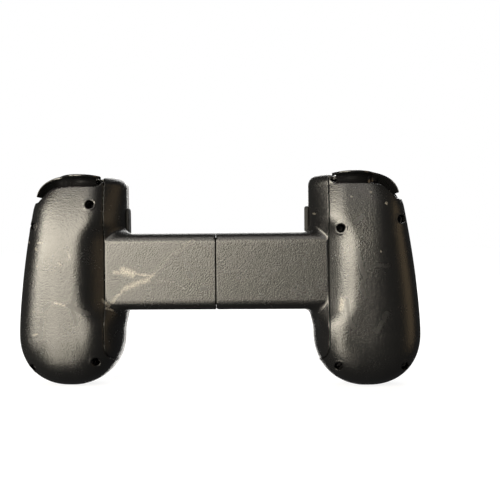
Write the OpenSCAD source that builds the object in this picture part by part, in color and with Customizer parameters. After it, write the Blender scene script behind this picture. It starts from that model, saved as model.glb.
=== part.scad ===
// Mobile game controller: two grips on a telescopic bridge that clamps a phone between them.
// X runs across the controller, Y from the backs of the grips to the thumbsticks, and Z is up.
// Seen from the front, the right hand's half lies on -X and the left hand's half on +X.
// Every shape is drawn for the +X half, and the right hand's half is its mirror image.

/* [Overall] */
// Width across both grips with the bridge closed
overall_w = 176; // [166:1:215]
// Height from the grip ends to the trigger lips
overall_h = 92.4; // [88:0.2:114]
// Depth from the backs of the grips to the tops of the thumbsticks
overall_d = 34; // [32:0.5:41]

/* [Grips] */
// Width of the round lower end of a grip
grip_w = 46; // [44:1:52]
// Width of the strip between a rear cover and the phone bay
strip_w = 8.4; // [8:0.2:11]
// How far the outer side leans in between the grip's end and its shoulder
lean = 9.85; // [7:0.05:11]
// Depth of the finger scoop below a trigger
scoop = 4; // [2:0.5:5]
// Thickness of the moulded walls
wall = 2; // [1.6:0.1:2.4]
// Height of the front shell above the parting line
front_h = 9; // [8.5:0.25:10.5]
// Radius of the edge round the front face
edge_r = 2.5; // [2:0.25:3.5]
// Half of the gap at the seams
seam_gap = 0.1; // [0.05:0.05:0.2]

/* [Bridge] */
// Height of the bridge
bridge_h = 33.4; // [30:0.2:40]
// Thickness of the bridge
bridge_t = 9; // [8.6:0.2:10.8]
// Distance from the top of the casing down to the bridge
bridge_drop = 24.6; // [22:0.2:28]
// Depth of the phone bay in front of the bridge
bay_d = 11; // [10:0.5:12]
// How far the bridge opens
bridge_travel = 90; // [70:1:96]
// Thickness of the rubber phone pads
pad_t = 1.7; // [1.2:0.1:2.4]

/* [Controls] */
// Height of the thumbsticks above the front face
stick_rise = 7; // [6.5:0.25:8.5]
// Radius of a thumbstick's cap
stick_r = 7.8; // [7:0.1:8.4]
// Radius of the opening around a thumbstick
stick_hole_r = 9; // [8.8:0.1:9.6]
// Radius of a face button
face_r = 4.4; // [3.6:0.1:5.3]
// Gap between the flanges of two neighbouring face buttons
face_gap = 1.2; // [0.6:0.1:2]
// Travel of a face button
face_travel = 1.2; // [0.8:0.1:1.5]
// Length of the direction pad's cross
dpad_w = 20.4; // [17:0.2:22]
// Width of an arm of the direction pad
dpad_arm = 7.2; // [6:0.2:8.6]
// Radius of a small button
small_r = 2.6; // [2.1:0.1:3]
// Travel of a small button
small_travel = 0.6; // [0.4:0.1:0.8]
// Gap around a button in its opening
button_gap = 0.4; // [0.3:0.05:0.6]

/* [Shoulders] */
// Height of a trigger's lip above the casing
lip_rise = 1; // [0.6:0.1:1.6]
// Width of the concave band of a trigger
band_w = 5.6; // [5.2:0.2:6.4]
// Radius of a trigger's pin
trigger_pin_r = 1; // [0.8:0.05:1.2]
// Radius of a bumper's pin
bumper_pin_r = 0.8; // [0.7:0.05:1]
// Radial clearance of the pins that turn
pin_fit = 0.05; // [0.03:0.01:0.08]

/* [Screws and sockets] */
// Radius of a screw recess
well_r = 1.7; // [1.6:0.05:2]
// Radius of a screw's head
screw_head_r = 1.45; // [1.2:0.05:1.5]
// Radius of a screw's shank
screw_r = 0.8; // [0.65:0.05:0.9]
// Radius of the headphone socket
jack_r = 1.8; // [1.5:0.05:2.1]
// Depth of the headphone socket
jack_depth = 12; // [10:0.5:13]
// Length of the phone plug beyond its pad
plug_len = 6.65; // [5.6:0.05:8]

/* [Hidden] */

// Colours of the finishes
satin_black = "#232325";
gloss_black = "#0c0c0d";
rubber_black = "#2c2c2d";
dark_steel = "#4a4b4d";
bright_steel = "#b9bcc0";
board_green = "#12402c";
silicone_grey = "#8b8f92";
tape_brown = "#8a5a24";

right = -1;
left = 1;
far = 400;
round_fn = 48;
small_fn = 24;
hidden_fn = 14;
well_fn = 16;
hole_fn = 36;

// Levels along Z
z_low = -overall_h / 2;
z_top = overall_h / 2 - lip_rise;
z_mid = (z_low + z_top) / 2;
end_r = grip_w / 2;
z_wide = z_low + end_r;
bridge_z1 = z_top - bridge_drop;
bridge_z0 = bridge_z1 - bridge_h;
bridge_mid_z = (bridge_z0 + bridge_z1) / 2;

// Levels along Y
rear_y = -overall_d / 2;
front_y = overall_d / 2 - stick_rise;
plate_y = front_y - wall;
part_y = front_y - front_h;
board_t = 1.2;
board_y = part_y - 2;
bridge_front_y = front_y - bay_d;
bridge_rear_y = bridge_front_y - bridge_t;

// Places along X
grip_x = overall_w / 2 - end_r;
inner_step = 2;
inner_x = grip_x - end_r - inner_step;
seam_x = inner_x + strip_w;

// Form of a grip
end_power = 2.2;
belly_power = 2.4;
section_power = 2.2;
belly_depth = part_y - rear_y;
waist_h = 12;
shoulder_rx = 15;
shoulder_rz = 14.4;
corner_r = 4.5;
strip_power = 1.6;
belly_step = 4.5;
belly_fall = 1.5;
scoop_start = 17.4;
scoop_h = 10;
least = 0.8;
arc_n = 18;
strip_n = 9;
edge_n = 3;

// Seam between a rear cover and the strip beside it
seam_bend_z = z_wide - 5;
seam_bend_w = 6;
seam_bend_h = 7;
seam_end_z = seam_bend_z - seam_bend_h;

// Outline of a trigger and of the cover's edge below it
trigger_x = grip_x - 6;
trigger_z = z_top - 11.4;
trigger_power = 2.5;
lip_a = 19.5;
lip_b = z_top + lip_rise - trigger_z;
edge_a = 19;
edge_fall = 4.1;
edge_b = z_top - edge_fall - trigger_z;
edge_drop = 2.2;
edge_drop_x = trigger_x + 11;
edge_drop_w = 6;
shoulder_z = trigger_z + 0.6;
edge_level = trigger_z + edge_b;

// Smooth step from 0 to 1
function ease(t) = let (u = max(0, min(1, t))) u * u * (3 - 2 * u);

// How far an edge has turned in at d past the start of an elliptic rounding
function turn_in(d, along, in) = d <= 0 ? 0 : in * (1 - sqrt(max(0, 1 - pow(d / along, 2))));

// Share of the full size that is left at level z of the grip's round end
function end_share(z, power) =
    z >= z_wide ? 1 : pow(max(0, 1 - pow((z_wide - z) / end_r, power)), 1 / power);

// Outer and inner edge of a grip at level z
function outer_edge(z) =
    grip_x + max(least, end_r * end_share(z, end_power))
    - lean * pow(max(0, (z - z_wide) / (z_top - z_wide)), 1.5)
    - turn_in(z - z_top + shoulder_rz, shoulder_rz, shoulder_rx);
function inner_edge(z) =
    grip_x - max(least, end_r * end_share(z, end_power))
    - inner_step * ease((z - z_wide) / waist_h)
    + turn_in(z - z_top + corner_r, corner_r, corner_r);

// Inner edge and depth of the bulging back at level z
function belly_edge(z) = inner_edge(z) + belly_step * ease((z - seam_end_z) / (waist_h + 2));
function belly(z) =
    max(least, belly_depth * end_share(z, belly_power))
    - belly_fall * ease(z / (z_top - scoop_start))
    - scoop * ease((z - z_top + scoop_start) / scoop_h);

// Y of the back at x and z, sunk by the inset k
function back_y(x, z, k) =
    let (xi = belly_edge(z) + k, xo = outer_edge(z) - k)
    let (u = min(1, abs(2 * x - xi - xo) / (xo - xi)))
    part_y - (belly(z) - k) * pow(1 - pow(u, section_power), 1 / section_power);

// Y of the strip at the seam at level z, flush with the cover there
function strip_y(z) = back_y(seam_x, z, 0) + turn_in(z - z_top + corner_r, corner_r, corner_r);

// Front face's level at z, with its rounded edge at both ends
function face_y(z) =
    front_y - turn_in(z - z_top + edge_r, edge_r, edge_r) - turn_in(z_low + edge_r - z, edge_r, edge_r);

// Levels of the sections: close together on the round end and at the shoulder
end_levels = [for (t = [90, 80, 70, 59, 48, 36, 24, 12]) z_wide - end_r * sin(t)];
side_n = 9;
side_levels = [for (i = [0 : side_n]) z_wide + i * (z_top - shoulder_rz - z_wide) / side_n];
top_levels = [for (t = [16, 30, 45, 60, 75, 90]) z_top - shoulder_rz * (1 - sin(t))];
outer_levels = concat(end_levels, side_levels, top_levels);
last_level = len(outer_levels) - 1;
cavity_levels = concat([for (i = [0 : 2 : last_level - 1]) outer_levels[i]], [outer_levels[last_level]]);
function levels(k) = k == 0 ? outer_levels : cavity_levels;
function sunk(z, k) = z_mid + (z - z_mid) * (1 - 2 * k / (z_top - z_low));
function steps(k, n) = k == 0 ? n : ceil(n / 2);

// Section of the bulging back at level z, sunk by k and run forward by over
function belly_section(z, k, over) =
    let (xi = belly_edge(z) + k, xo = outer_edge(z) - k, xm = (xi + xo) / 2)
    let (a = max(least, xo - xi) / 2, d = max(least, belly(z) - k), n = steps(k, arc_n))
    concat([[xm - a, part_y + over]], [for (i = [0 : n])
        let (c = cos(180 * i / n), s = sin(180 * i / n))
        [xm - a * sign(c) * pow(abs(c), 2 / section_power), part_y - d * pow(max(0, s), 2 / section_power)]
    ], [[xm + a, part_y + over]]);

// Section of the strip at level z: it falls on from the seam towards the phone bay
function strip_curve(z) =
    section_power - (section_power - strip_power) * ease((z - seam_end_z) / (waist_h + 2));
function strip_levels(k) = [for (z = levels(k)) if (inner_edge(z) + k < seam_x) z];
function strip_section(z, k, over) =
    let (xm = (belly_edge(z) + outer_edge(z)) / 2, a = xm - inner_edge(z), p = strip_curve(z))
    let (share = pow(1 - pow((xm - seam_x) / a, p), 1 / p), d = max(least, part_y - strip_y(z)) / share)
    let (last = acos(pow((xm - seam_x - wall) / (a - k), p / 2)), n = steps(k, strip_n))
    concat([[xm - a + k, part_y + over]], [for (i = [0 : n]) let (t = last * i / n)
        [xm - (a - k) * pow(cos(t), 2 / p), part_y - (d - k) * pow(sin(t), 2 / p)]
    ], [[seam_x + wall, part_y + over]]);

// Section of the front shell at level z
function front_section(z, k, over) =
    let (xi = inner_edge(z) + k, xo = outer_edge(z) - k, xm = (xi + xo) / 2)
    let (a = max(least, xo - xi) / 2, y = face_y(z) - k, r = min(edge_r, a), n = steps(k, edge_n))
    concat([[xm - a, part_y - over]], [for (i = [0 : n]) let (t = 90 * i / n)
        [xm - a + r * (1 - cos(t)), y - r * (1 - sin(t))]
    ], [for (i = [n : -1 : 0]) let (t = 90 * i / n)
        [xm + a - r * (1 - cos(t)), y - r * (1 - sin(t))]
    ], [[xm + a, part_y - over]]);

// A solid through convex sections, each raised to its own level
function raised(section, z) = [for (p = section) [p.x, p.y, z]];
module loft(rings) {
    m = len(rings[0]);
    for (i = [0 : len(rings) - 2])
        hull() polyhedron(points = concat(rings[i], rings[i + 1]), faces = [[for (k = [0 : 2 * m - 1]) k]]);
}
module belly_form(k = 0, over = 0)
    loft([for (z = levels(k)) raised(belly_section(z, k, over), sunk(z, k))]);
module strip_form(k = 0, over = 0)
    loft([for (z = strip_levels(k)) raised(strip_section(z, k, over), sunk(z, k))]);
module front_form(k = 0, over = 0)
    loft([for (z = levels(k)) raised(front_section(z, k, over), sunk(z, k))]);

// Placing helpers
module half(side) {
    if (side == right) mirror([1, 0, 0]) children();
    else children();
}
module rod_x(x0, x1, y, z, r) translate([x0, y, z]) rotate([0, 90, 0]) cylinder(h = x1 - x0, r = r);
module rod_y(x, z, y0, y1, r) translate([x, y0, z]) rotate([-90, 0, 0]) cylinder(h = y1 - y0, r = r);
module rod_z(x, y, z0, z1, r) translate([x, y, z0]) cylinder(h = z1 - z0, r = r);
module block(low, high) translate(low) cube(high - low);
module slab_x(x0, x1) translate([x0, 0, 0]) rotate([90, 0, 90]) linear_extrude(x1 - x0) children();
module slab_y(y0, y1) translate([0, y1, 0]) rotate([90, 0, 0]) linear_extrude(y1 - y0) children();
module turned_y(x, z) translate([x, 0, z]) rotate([-90, 0, 0]) rotate_extrude() children();
module capsule(length, width) {
    square([length - width, width], center = true);
    for (s = [-1, 1]) translate([s * (length - width) / 2, 0]) circle(d = width);
}

// Seam line in X and Z from the top down, moved sideways by g
function seam_line(g) = concat([[seam_x + g, far]], [for (t = [0 : 15 : 90])
    [seam_x + g - seam_bend_w * (1 - cos(t)), seam_bend_z - seam_bend_h * sin(t) - g * sin(t)]
], [[-far, seam_end_z - g]]);

// Top edge of a rear cover below its trigger
function cover_edge(x) =
    let (u = max(0, x - trigger_x) / edge_a)
    max(shoulder_z, trigger_z + edge_b * pow(max(0, 1 - pow(u, trigger_power)), 1 / trigger_power)
        - edge_drop * ease((x - edge_drop_x) / edge_drop_w));
cover_edge_n = 16;
cover_edge_x1 = trigger_x + lip_a + wall;
nook_r = 3.4;
nook_x = seam_x + 0.4 + nook_r;
cover_edge_line = concat(
    [[seam_x - wall, edge_level + nook_r]],
    [for (t = [0 : 18 : 90]) [nook_x - nook_r * cos(t), edge_level + nook_r - nook_r * sin(t)]],
    [for (i = [1 : cover_edge_n])
        let (x = nook_x + i * (cover_edge_x1 - nook_x) / cover_edge_n) [x, cover_edge(x)]]
);

module cover_outline() difference() {
    polygon(concat(seam_line(seam_gap), [[-far, -far], [far, -far], [far, far]]));
    polygon(concat(cover_edge_line, [[far, shoulder_z], [far, far], [seam_x - wall, far]]));
}
module strip_outline() polygon(concat(seam_line(-seam_gap), [[-far, far]]));

// Screws of a half: places from the grip's middle line and from the casing's top or the grip's wide level
right_screw_places = [
    [grip_x - 11.2, z_top - 12], [grip_x + 14.9, z_top - 21.1],
    [grip_x - 13, z_wide - 11.4], [grip_x + 15.8, z_wide - 14.4]
];
left_screw_places = [
    [grip_x - 11.8, z_top - 23.3], [grip_x + 13.8, z_top - 19.7],
    [grip_x - 12.8, z_wide - 13.4], [grip_x + 15.3, z_wide - 13.7]
];
function screw_places(side) = side == right ? right_screw_places : left_screw_places;
screw_seat_y = board_y - 1;
screw_head_h = 1.2;
screw_len = 7;
screw_end_y = screw_seat_y + screw_len;
screw_fit = 0.15;
well_wall = 0.8;
boss_r = 2.4;

// Rear cover of a grip, a bulging shell with a deep recess for each screw
module grip_back(side) half(side) color(satin_black) difference() {
    intersection() {
        belly_form();
        slab_y(rear_y, part_y) cover_outline();
        union() {
            difference() {
                block([0, rear_y, -far], [far, part_y, far]);
                belly_form(wall, wall);
            }
            for (p = screw_places(side))
                rod_y(p.x, p[1], rear_y, part_y, well_r + well_wall, $fn = hidden_fn);
        }
    }
    block([seam_x - wall, channel_y0, channel_z0], [slider_half + 1, channel_y1, channel_z1]);
    board_rebate();
    for (p = screw_places(side)) {
        rod_y(p.x, p[1], rear_y - 1, screw_seat_y, well_r, $fn = well_fn);
        rod_y(p.x, p[1], rear_y, part_y, screw_r + screw_fit, $fn = hidden_fn);
    }
}

module screws(side) half(side) color(dark_steel) for (p = screw_places(side)) {
    rod_y(p.x, p[1], screw_seat_y - screw_head_h, screw_seat_y, screw_head_r, $fn = small_fn);
    rod_y(p.x, p[1], screw_seat_y - screw_head_h / 2, screw_end_y, screw_r, $fn = small_fn);
}

// Bridge frame of a half: the strip beside the rear cover and a half of the bridge's flat sleeve
bridge_gap = 0.4;
bridge_edge_r = 2.5;
fillet_r = 3;
fillet_sink = 1.5;
fillet_lean = 0.75;
sleeve_x1 = seam_x - 0.3;
channel_fit = 0.3;
channel_z0 = bridge_z0 + wall;
channel_z1 = bridge_z1 - wall;
channel_y0 = bridge_rear_y + wall;
channel_y1 = bridge_front_y - wall;
rest_x1 = inner_x - pad_t;
module sleeve_profile() {
    translate([bridge_rear_y + bridge_edge_r, bridge_z0]) square([bridge_t - bridge_edge_r, bridge_h]);
    translate([bridge_rear_y, bridge_z0 + bridge_edge_r])
        square([2 * bridge_edge_r, bridge_h - 2 * bridge_edge_r]);
    for (z = [bridge_z0 + bridge_edge_r, bridge_z1 - bridge_edge_r])
        translate([bridge_rear_y + bridge_edge_r, z]) circle(bridge_edge_r, $fn = small_fn);
}
module corner_fillet(z, up) {
    translate([inner_x + wall, z]) scale([1, up]) difference() {
        translate([-fillet_r - wall, -wall]) square([fillet_r + wall, fillet_r + wall]);
        translate([-fillet_r - wall, fillet_r]) circle(fillet_r, $fn = small_fn);
    }
}
module bridge_frame(side) half(side) color(satin_black) difference() {
    union() {
        intersection() {
            strip_form();
            slab_y(rear_y, part_y) strip_outline();
        }
        slab_x(bridge_gap / 2, sleeve_x1) sleeve_profile();
        multmatrix([[1, -fillet_lean, 0, fillet_lean * bridge_front_y], [0, 1, 0, 0], [0, 0, 1, 0]])
            slab_y(bridge_rear_y + fillet_sink, bridge_front_y) {
                corner_fillet(bridge_z1, 1);
                corner_fillet(bridge_z0, -1);
            }
    }
    strip_form(wall, wall);
    block([-far, channel_y0, channel_z0], [rest_x1, part_y, channel_z1]);
    block([-far, channel_y0, channel_z0], [slider_half + 1, channel_y1, channel_z1]);
    board_rebate();
}

// Cover plate of a bridge half, which the phone's back rests on, with the spring post behind it
post_r = 1.5;
post_x = 10;
post_z_step = 8;
post_fit = 0.3;
function post_z(side) = bridge_mid_z - side * post_z_step;
slider_y0 = channel_y0 + channel_fit;
slider_y1 = channel_y1 - channel_fit;
slider_floor = 1.2;
slider_lid = 0.8;
pocket_y0 = slider_y0 + slider_floor;
pocket_y1 = slider_y1 - slider_lid;
module bridge_cover(side) half(side) color(satin_black) {
    block(
        [bridge_gap / 2, channel_y1, channel_z0 + seam_gap],
        [rest_x1 - seam_gap, bridge_front_y, channel_z1 - seam_gap]
    );
    rod_y(post_x, post_z(side), pocket_y0 + post_fit, channel_y1 + wall / 2, post_r, $fn = small_fn);
}

// Sliding core of the bridge, with a spring pocket for each half and a channel for the flex cable
slider_reach = 30;
slider_half = inner_x + slider_reach;
pocket_w = 4.8;
pocket_far = 31;
pocket_near = bridge_travel / 2 + post_x + post_r + post_fit;
channel_w = 6;
module pocket_outline(side, w) translate([side * (pocket_near - pocket_far) / 2, post_z(side)])
    capsule(pocket_near + pocket_far, w);
module bridge_slider() color(dark_steel) difference() {
    block(
        [-slider_half, slider_y0, channel_z0 + channel_fit],
        [slider_half, pocket_y1, channel_z1 - channel_fit]
    );
    slab_y(pocket_y0, slider_y1) {
        for (side = [right, left]) pocket_outline(side, pocket_w);
        translate([0, bridge_mid_z]) square([far, channel_w], center = true);
    }
}
module slider_cover() color(dark_steel) difference() {
    block(
        [-slider_half, pocket_y1, channel_z0 + channel_fit],
        [slider_half, slider_y1, channel_z1 - channel_fit]
    );
    slab_y(pocket_y0, slider_y1 + 1)
        for (side = [right, left])
            translate([side * (pocket_near + post_x - post_r - post_fit) / 2, post_z(side)])
                capsule(pocket_near - post_x + post_r + post_fit, 2 * (post_r + post_fit));
}

// A wire bent along a list of points, as one tube with flat ends
wire_sides = 5;
function unit(v) = v / norm(v);
function heading(path, i) = unit(path[min(i + 1, len(path) - 1)] - path[max(i - 1, 0)]);
module wire(path, r, up) {
    n = len(path);
    rings = [for (i = [0 : n - 1])
        let (t = heading(path, i), u = unit(cross(t, up)), v = cross(t, u))
        for (k = [0 : wire_sides - 1])
            let (a = 360 * k / wire_sides) path[i] + r * (cos(a) * u + sin(a) * v)];
    sides = [for (i = [0 : n - 2]) for (k = [0 : wire_sides - 1])
        let (a = i * wire_sides + k, b = i * wire_sides + (k + 1) % wire_sides)
        each [[a, b, b + wire_sides], [a, b + wire_sides, a + wire_sides]]];
    ends = [
        [for (k = [wire_sides - 1 : -1 : 0]) k],
        [for (k = [0 : wire_sides - 1]) (n - 1) * wire_sides + k]
    ];
    polyhedron(points = rings, faces = concat(sides, ends));
}

// Return spring of a half, from its post to the far end of its pocket
spring_wire_r = 0.18;
spring_room = 0.12;
spring_r = (pocket_y1 - pocket_y0) / 2 - spring_wire_r - spring_room;
spring_turns = 16;
spring_steps = 6;
spring_mid_y = (pocket_y0 + pocket_y1) / 2;
spring_near = post_x - post_r - post_fit;
spring_far = post_fit - pocket_far;
module return_spring(side) color(bright_steel) wire([for (i = [0 : spring_turns * spring_steps])
    let (s = i / (spring_turns * spring_steps), a = 360 * i / spring_steps)
    [
        side * (spring_near + s * (spring_far - spring_near)),
        spring_mid_y + spring_r * cos(a),
        post_z(side) + spring_r * sin(a)
    ]], spring_wire_r, [1, 0, 0]);

// Flex cable between the halves: a folded ribbon in the slider's channel, with an end at each board
flex_t = 0.2;
flex_w = 4.6;
flex_folds = 20;
flex_swing = 0.7;
flex_end_x = slider_half + 3;
flex_end_y = board_y - board_t - 0.2;
flex_line = concat(
    [[-flex_end_x, flex_end_y], [-flex_end_x, spring_mid_y]],
    [for (i = [0 : flex_folds]) [
        slider_half * (2 * i / flex_folds - 1),
        spring_mid_y + flex_swing * (i == 0 || i == flex_folds ? 0 : pow(-1, i))
    ]],
    [[flex_end_x, spring_mid_y], [flex_end_x, flex_end_y]]
);
function flex_side(s) = [for (i = [0 : len(flex_line) - 1])
    let (t = heading(flex_line, i)) flex_line[i] + s * flex_t / 2 * [-t.y, t.x]];
module flex_cable() color(tape_brown) translate([0, 0, bridge_mid_z - flex_w / 2]) linear_extrude(flex_w)
    polygon(concat(flex_side(1), [for (i = [len(flex_line) - 1 : -1 : 0]) flex_side(-1)[i]]));

// Places of the controls on a front shell
upper_x = grip_x + 1;
upper_z = z_top - 29.4;
lower_x = grip_x - 2;
lower_z = z_wide + 9;
face_x = grip_x + 0.6 - face_r / 4;
small_upper = [inner_x + 7.8, z_top - 10.8];
small_lower = [inner_x + 8.4 + wall, z_wide - 5];
port_y = plate_y - 3.1;
plug_y = part_y + 2.6;
pad_z0 = z_wide + waist_h + 0.4;
pad_z1 = bridge_z1 + 11.2;
pad_y0 = bridge_front_y + 0.6;
pad_y1 = front_y - edge_r - 0.3;
plug_z = (pad_z0 + pad_z1) / 2;
flange = 0.8;
face_pitch = (2 * (face_r + flange) + face_gap) / sqrt(2);
function stick_place(side) = side == right ? [lower_x, lower_z] : [upper_x, upper_z];
function face_place(i) = [face_x + face_pitch * cos(90 * i), upper_z + face_pitch * sin(90 * i)];

// Outline of a bumper in X and Z
bumper_a = 20.2;
bumper_t = 2.6;
bumper_b = lip_b - 0.8;
bumper_y0 = part_y - 0.2;
bumper_y1 = front_y - edge_r - 0.5;
bumper_gap = 0.4;
bumper_x0 = trigger_x - 8.3;
bumper_end_z = trigger_z + 2.6;
bumper_room = 1.6;
function oval(a, b, t) = [
    trigger_x + a * sign(cos(t)) * pow(abs(cos(t)), 2 / trigger_power),
    trigger_z + b * pow(max(0, sin(t)), 2 / trigger_power)
];
module oval_outline(a, b) polygon([for (t = [0 : 6 : 180]) oval(a, b, t)]);
module bumper_window() difference() {
    translate([bumper_x0 - bumper_gap, bumper_end_z - bumper_room]) square(far);
    oval_outline(bumper_a - bumper_t - bumper_room, bumper_b - bumper_t - bumper_room);
}

// Front shell of a half, with its openings, screw bosses and board posts
post_places = [[inner_x + 7.2, z_wide + 18], [grip_x + 12, z_wide + 24], [grip_x + 9.5, z_wide - 4]];
board_post_r = 1.8;
port_w = 9;
port_h = 3.3;
port_gap = 0.2;
jack_wall = 1.1;
neck_w = 10.8;
neck_h = 4.2;
function cross_corner(l, w, a) = [for (p = [[w, -l], [w, -w], [l, -w]])
    [p.x * cos(a) - p.y * sin(a), p.x * sin(a) + p.y * cos(a)]];
module cross_outline(span, arm) polygon([for (a = [0 : 90 : 270]) each cross_corner(span / 2, arm / 2, a)]);
module front_shell(side) half(side) color(satin_black) difference() {
    union() {
        difference() {
            front_form();
            front_form(wall, wall);
        }
        for (p = screw_places(side)) rod_y(p.x, p[1], part_y, plate_y + wall / 4, boss_r, $fn = hidden_fn);
        for (p = post_places) rod_y(p.x, p[1], board_y, plate_y + wall / 4, board_post_r, $fn = hidden_fn);
    }
    for (p = screw_places(side))
        rod_y(p.x, p[1], rear_y, screw_end_y + screw_fit, screw_r + screw_fit, $fn = hidden_fn);
    for (p = [small_upper, small_lower])
        rod_y(p.x, p[1], plate_y - 1, front_y + 1, small_r + button_gap, $fn = small_fn);
    slab_y(rear_y, bumper_y1 + bumper_gap) bumper_window();
    rod_y(stick_place(side).x, stick_place(side)[1], plate_y - 1, front_y + 1, stick_hole_r, $fn = hole_fn);
    if (side == right) {
        for (i = [0 : 3]) let (p = face_place(i))
            rod_y(p.x, p[1], plate_y - 1, front_y + 1, face_r + button_gap, $fn = small_fn);
        translate([grip_x, port_y, z_low - 1]) linear_extrude(3 * wall)
            capsule(port_w + 2 * port_gap, port_h + 2 * port_gap, $fn = small_fn);
        slab_x(inner_x - 1, inner_x + wall + 1) translate([plug_y, plug_z]) rotate(90)
            capsule(neck_w + 2 * port_gap, neck_h + 2 * port_gap, $fn = small_fn);
    }
    if (side == left) {
        slab_y(plate_y - 1, front_y + 1) translate([lower_x, lower_z])
            cross_outline(dpad_w + 3 * button_gap, dpad_arm + 3 * button_gap);
        rod_z(grip_x, port_y, z_low - 1, z_low + 3 * wall, jack_r + jack_wall + port_gap, $fn = small_fn);
    }
}

// Rubber pad on the inner side of a grip, which an end of the phone meets
module phone_pad(side) half(side) color(rubber_black) slab_x(inner_x - pad_t, inner_x) difference() {
    translate([(pad_y0 + pad_y1) / 2, (pad_z0 + pad_z1) / 2]) rotate(90) rounded_pad();
    if (side == right) translate([plug_y, plug_z]) rotate(90)
        capsule(neck_w + 2 * port_gap, neck_h + 2 * port_gap);
}
pad_r = 2.4;
module rounded_pad() {
    l = pad_z1 - pad_z0;
    w = pad_y1 - pad_y0;
    square([l - 2 * pad_r, w], center = true);
    square([l, w - 2 * pad_r], center = true);
    for (sx = [-1, 1], sy = [-1, 1]) translate([sx * (l / 2 - pad_r), sy * (w / 2 - pad_r)]) circle(pad_r);
}

// Phone plug with its moulded carrier on the right hand's board
plug_w = 8.25;
plug_h = 2.4;
carrier_x0 = inner_x + wall + 0.8;
carrier_x1 = inner_x + 10.4;
carrier_w = 14;
carrier_y1 = plug_y + 2.6;
plug_inner = 3;
module phone_plug() half(right) color(bright_steel)
    slab_x(inner_x - pad_t - plug_len, carrier_x0 + plug_inner) translate([plug_y, plug_z]) rotate(90)
        difference() {
            capsule(plug_w, plug_h);
            capsule(plug_w - 2 * port_wall, plug_h - 2 * port_wall);
        }
module plug_carrier() half(right) color(rubber_black) difference() {
    union() {
        slab_x(inner_x - pad_t, carrier_x0 + 1) translate([plug_y, plug_z]) rotate(90)
            capsule(neck_w, neck_h);
        block(
            [carrier_x0, board_y, plug_z - carrier_w / 2],
            [carrier_x1, carrier_y1, plug_z + carrier_w / 2]
        );
    }
    slab_x(inner_x - far, carrier_x0 + plug_inner) translate([plug_y, plug_z]) rotate(90)
        capsule(plug_w, plug_h);
}

// Charging port and headphone jack at the grip ends, each on a foot on its board
port_len = 7.4;
port_wall = 0.3;
port_floor = 2;
blade_w = 6.6;
blade_t = 0.7;
blade_sink = 0.8;
foot_w = 7;
socket_z0 = z_low + 0.3;
module charge_port() half(right) color(bright_steel) {
    difference() {
        union() {
            translate([grip_x, port_y, socket_z0]) linear_extrude(port_len) capsule(port_w, port_h);
            block(
                [grip_x - foot_w / 2, board_y, z_low + 2 * wall],
                [grip_x + foot_w / 2, port_y, socket_z0 + port_len]
            );
        }
        translate([grip_x, port_y, socket_z0 - 1]) linear_extrude(port_len + 1 - port_floor)
            capsule(port_w - 2 * port_wall, port_h - 2 * port_wall);
    }
    block(
        [grip_x - blade_w / 2, port_y - blade_t / 2, socket_z0 + blade_sink],
        [grip_x + blade_w / 2, port_y + blade_t / 2, socket_z0 + port_len - port_floor / 2]
    );
}
module headphone_jack() half(left) color(rubber_black) difference() {
    union() {
        rod_z(grip_x, port_y, socket_z0, socket_z0 + jack_depth + 1, jack_r + jack_wall);
        block(
            [grip_x - foot_w / 2, board_y, z_low + 2 * wall],
            [grip_x + foot_w / 2, port_y + jack_r + jack_wall / 2, socket_z0 + jack_depth + 1]
        );
    }
    rod_z(grip_x, port_y, socket_z0 - 1, socket_z0 + jack_depth, jack_r);
}

// Circuit board of a half, with the switches under its small buttons
board_x0 = inner_x + 1.2 + 2 * wall;
board_x1 = grip_x + 13;
board_z0 = z_wide - 9;
board_z1 = z_top - 15;
board_cut = 7;
tongue_w = 6;
tongue_z = z_low + 0.4 + 1.5 * wall;
screw_room = 0.5;
switch_w = 3.6;
small_stem_y = board_y + 4.2;
switch_y = small_stem_y - small_travel - 0.3;
module board_outline() polygon([
    [board_x0, board_z0 + board_cut], [board_x0 + board_cut, board_z0], [grip_x - tongue_w, board_z0],
    [grip_x - tongue_w, tongue_z], [grip_x + tongue_w, tongue_z], [grip_x + tongue_w, board_z0],
    [board_x1 - board_cut, board_z0], [board_x1, board_z0 + board_cut], [board_x1, board_z1 - board_cut],
    [board_x1 - board_cut, board_z1], [board_x0, board_z1]
]);
board_room = 0.3;
module board_rebate() block(
    [board_x0 - board_room, board_y - board_t - board_room, board_z0 + board_cut - 2 * board_room],
    [seam_x + 1, part_y + 1, board_z0 + 2 * board_cut]
);
module board(side) half(side) color(board_green) {
    slab_y(board_y - board_t, board_y) difference() {
        union() {
            board_outline();
            translate([board_x0, board_z1 - 1]) square([2 * switch_w, small_upper[1] + switch_w - board_z1]);
        }
        for (p = screw_places(side)) translate(p) circle(boss_r + screw_room, $fn = small_fn);
    }
    for (p = [small_upper, small_lower]) translate([p.x, 0, p[1]])
        block([-switch_w / 2, board_y - board_t / 2, -switch_w / 2], [switch_w / 2, switch_y, switch_w / 2]);
}

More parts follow.
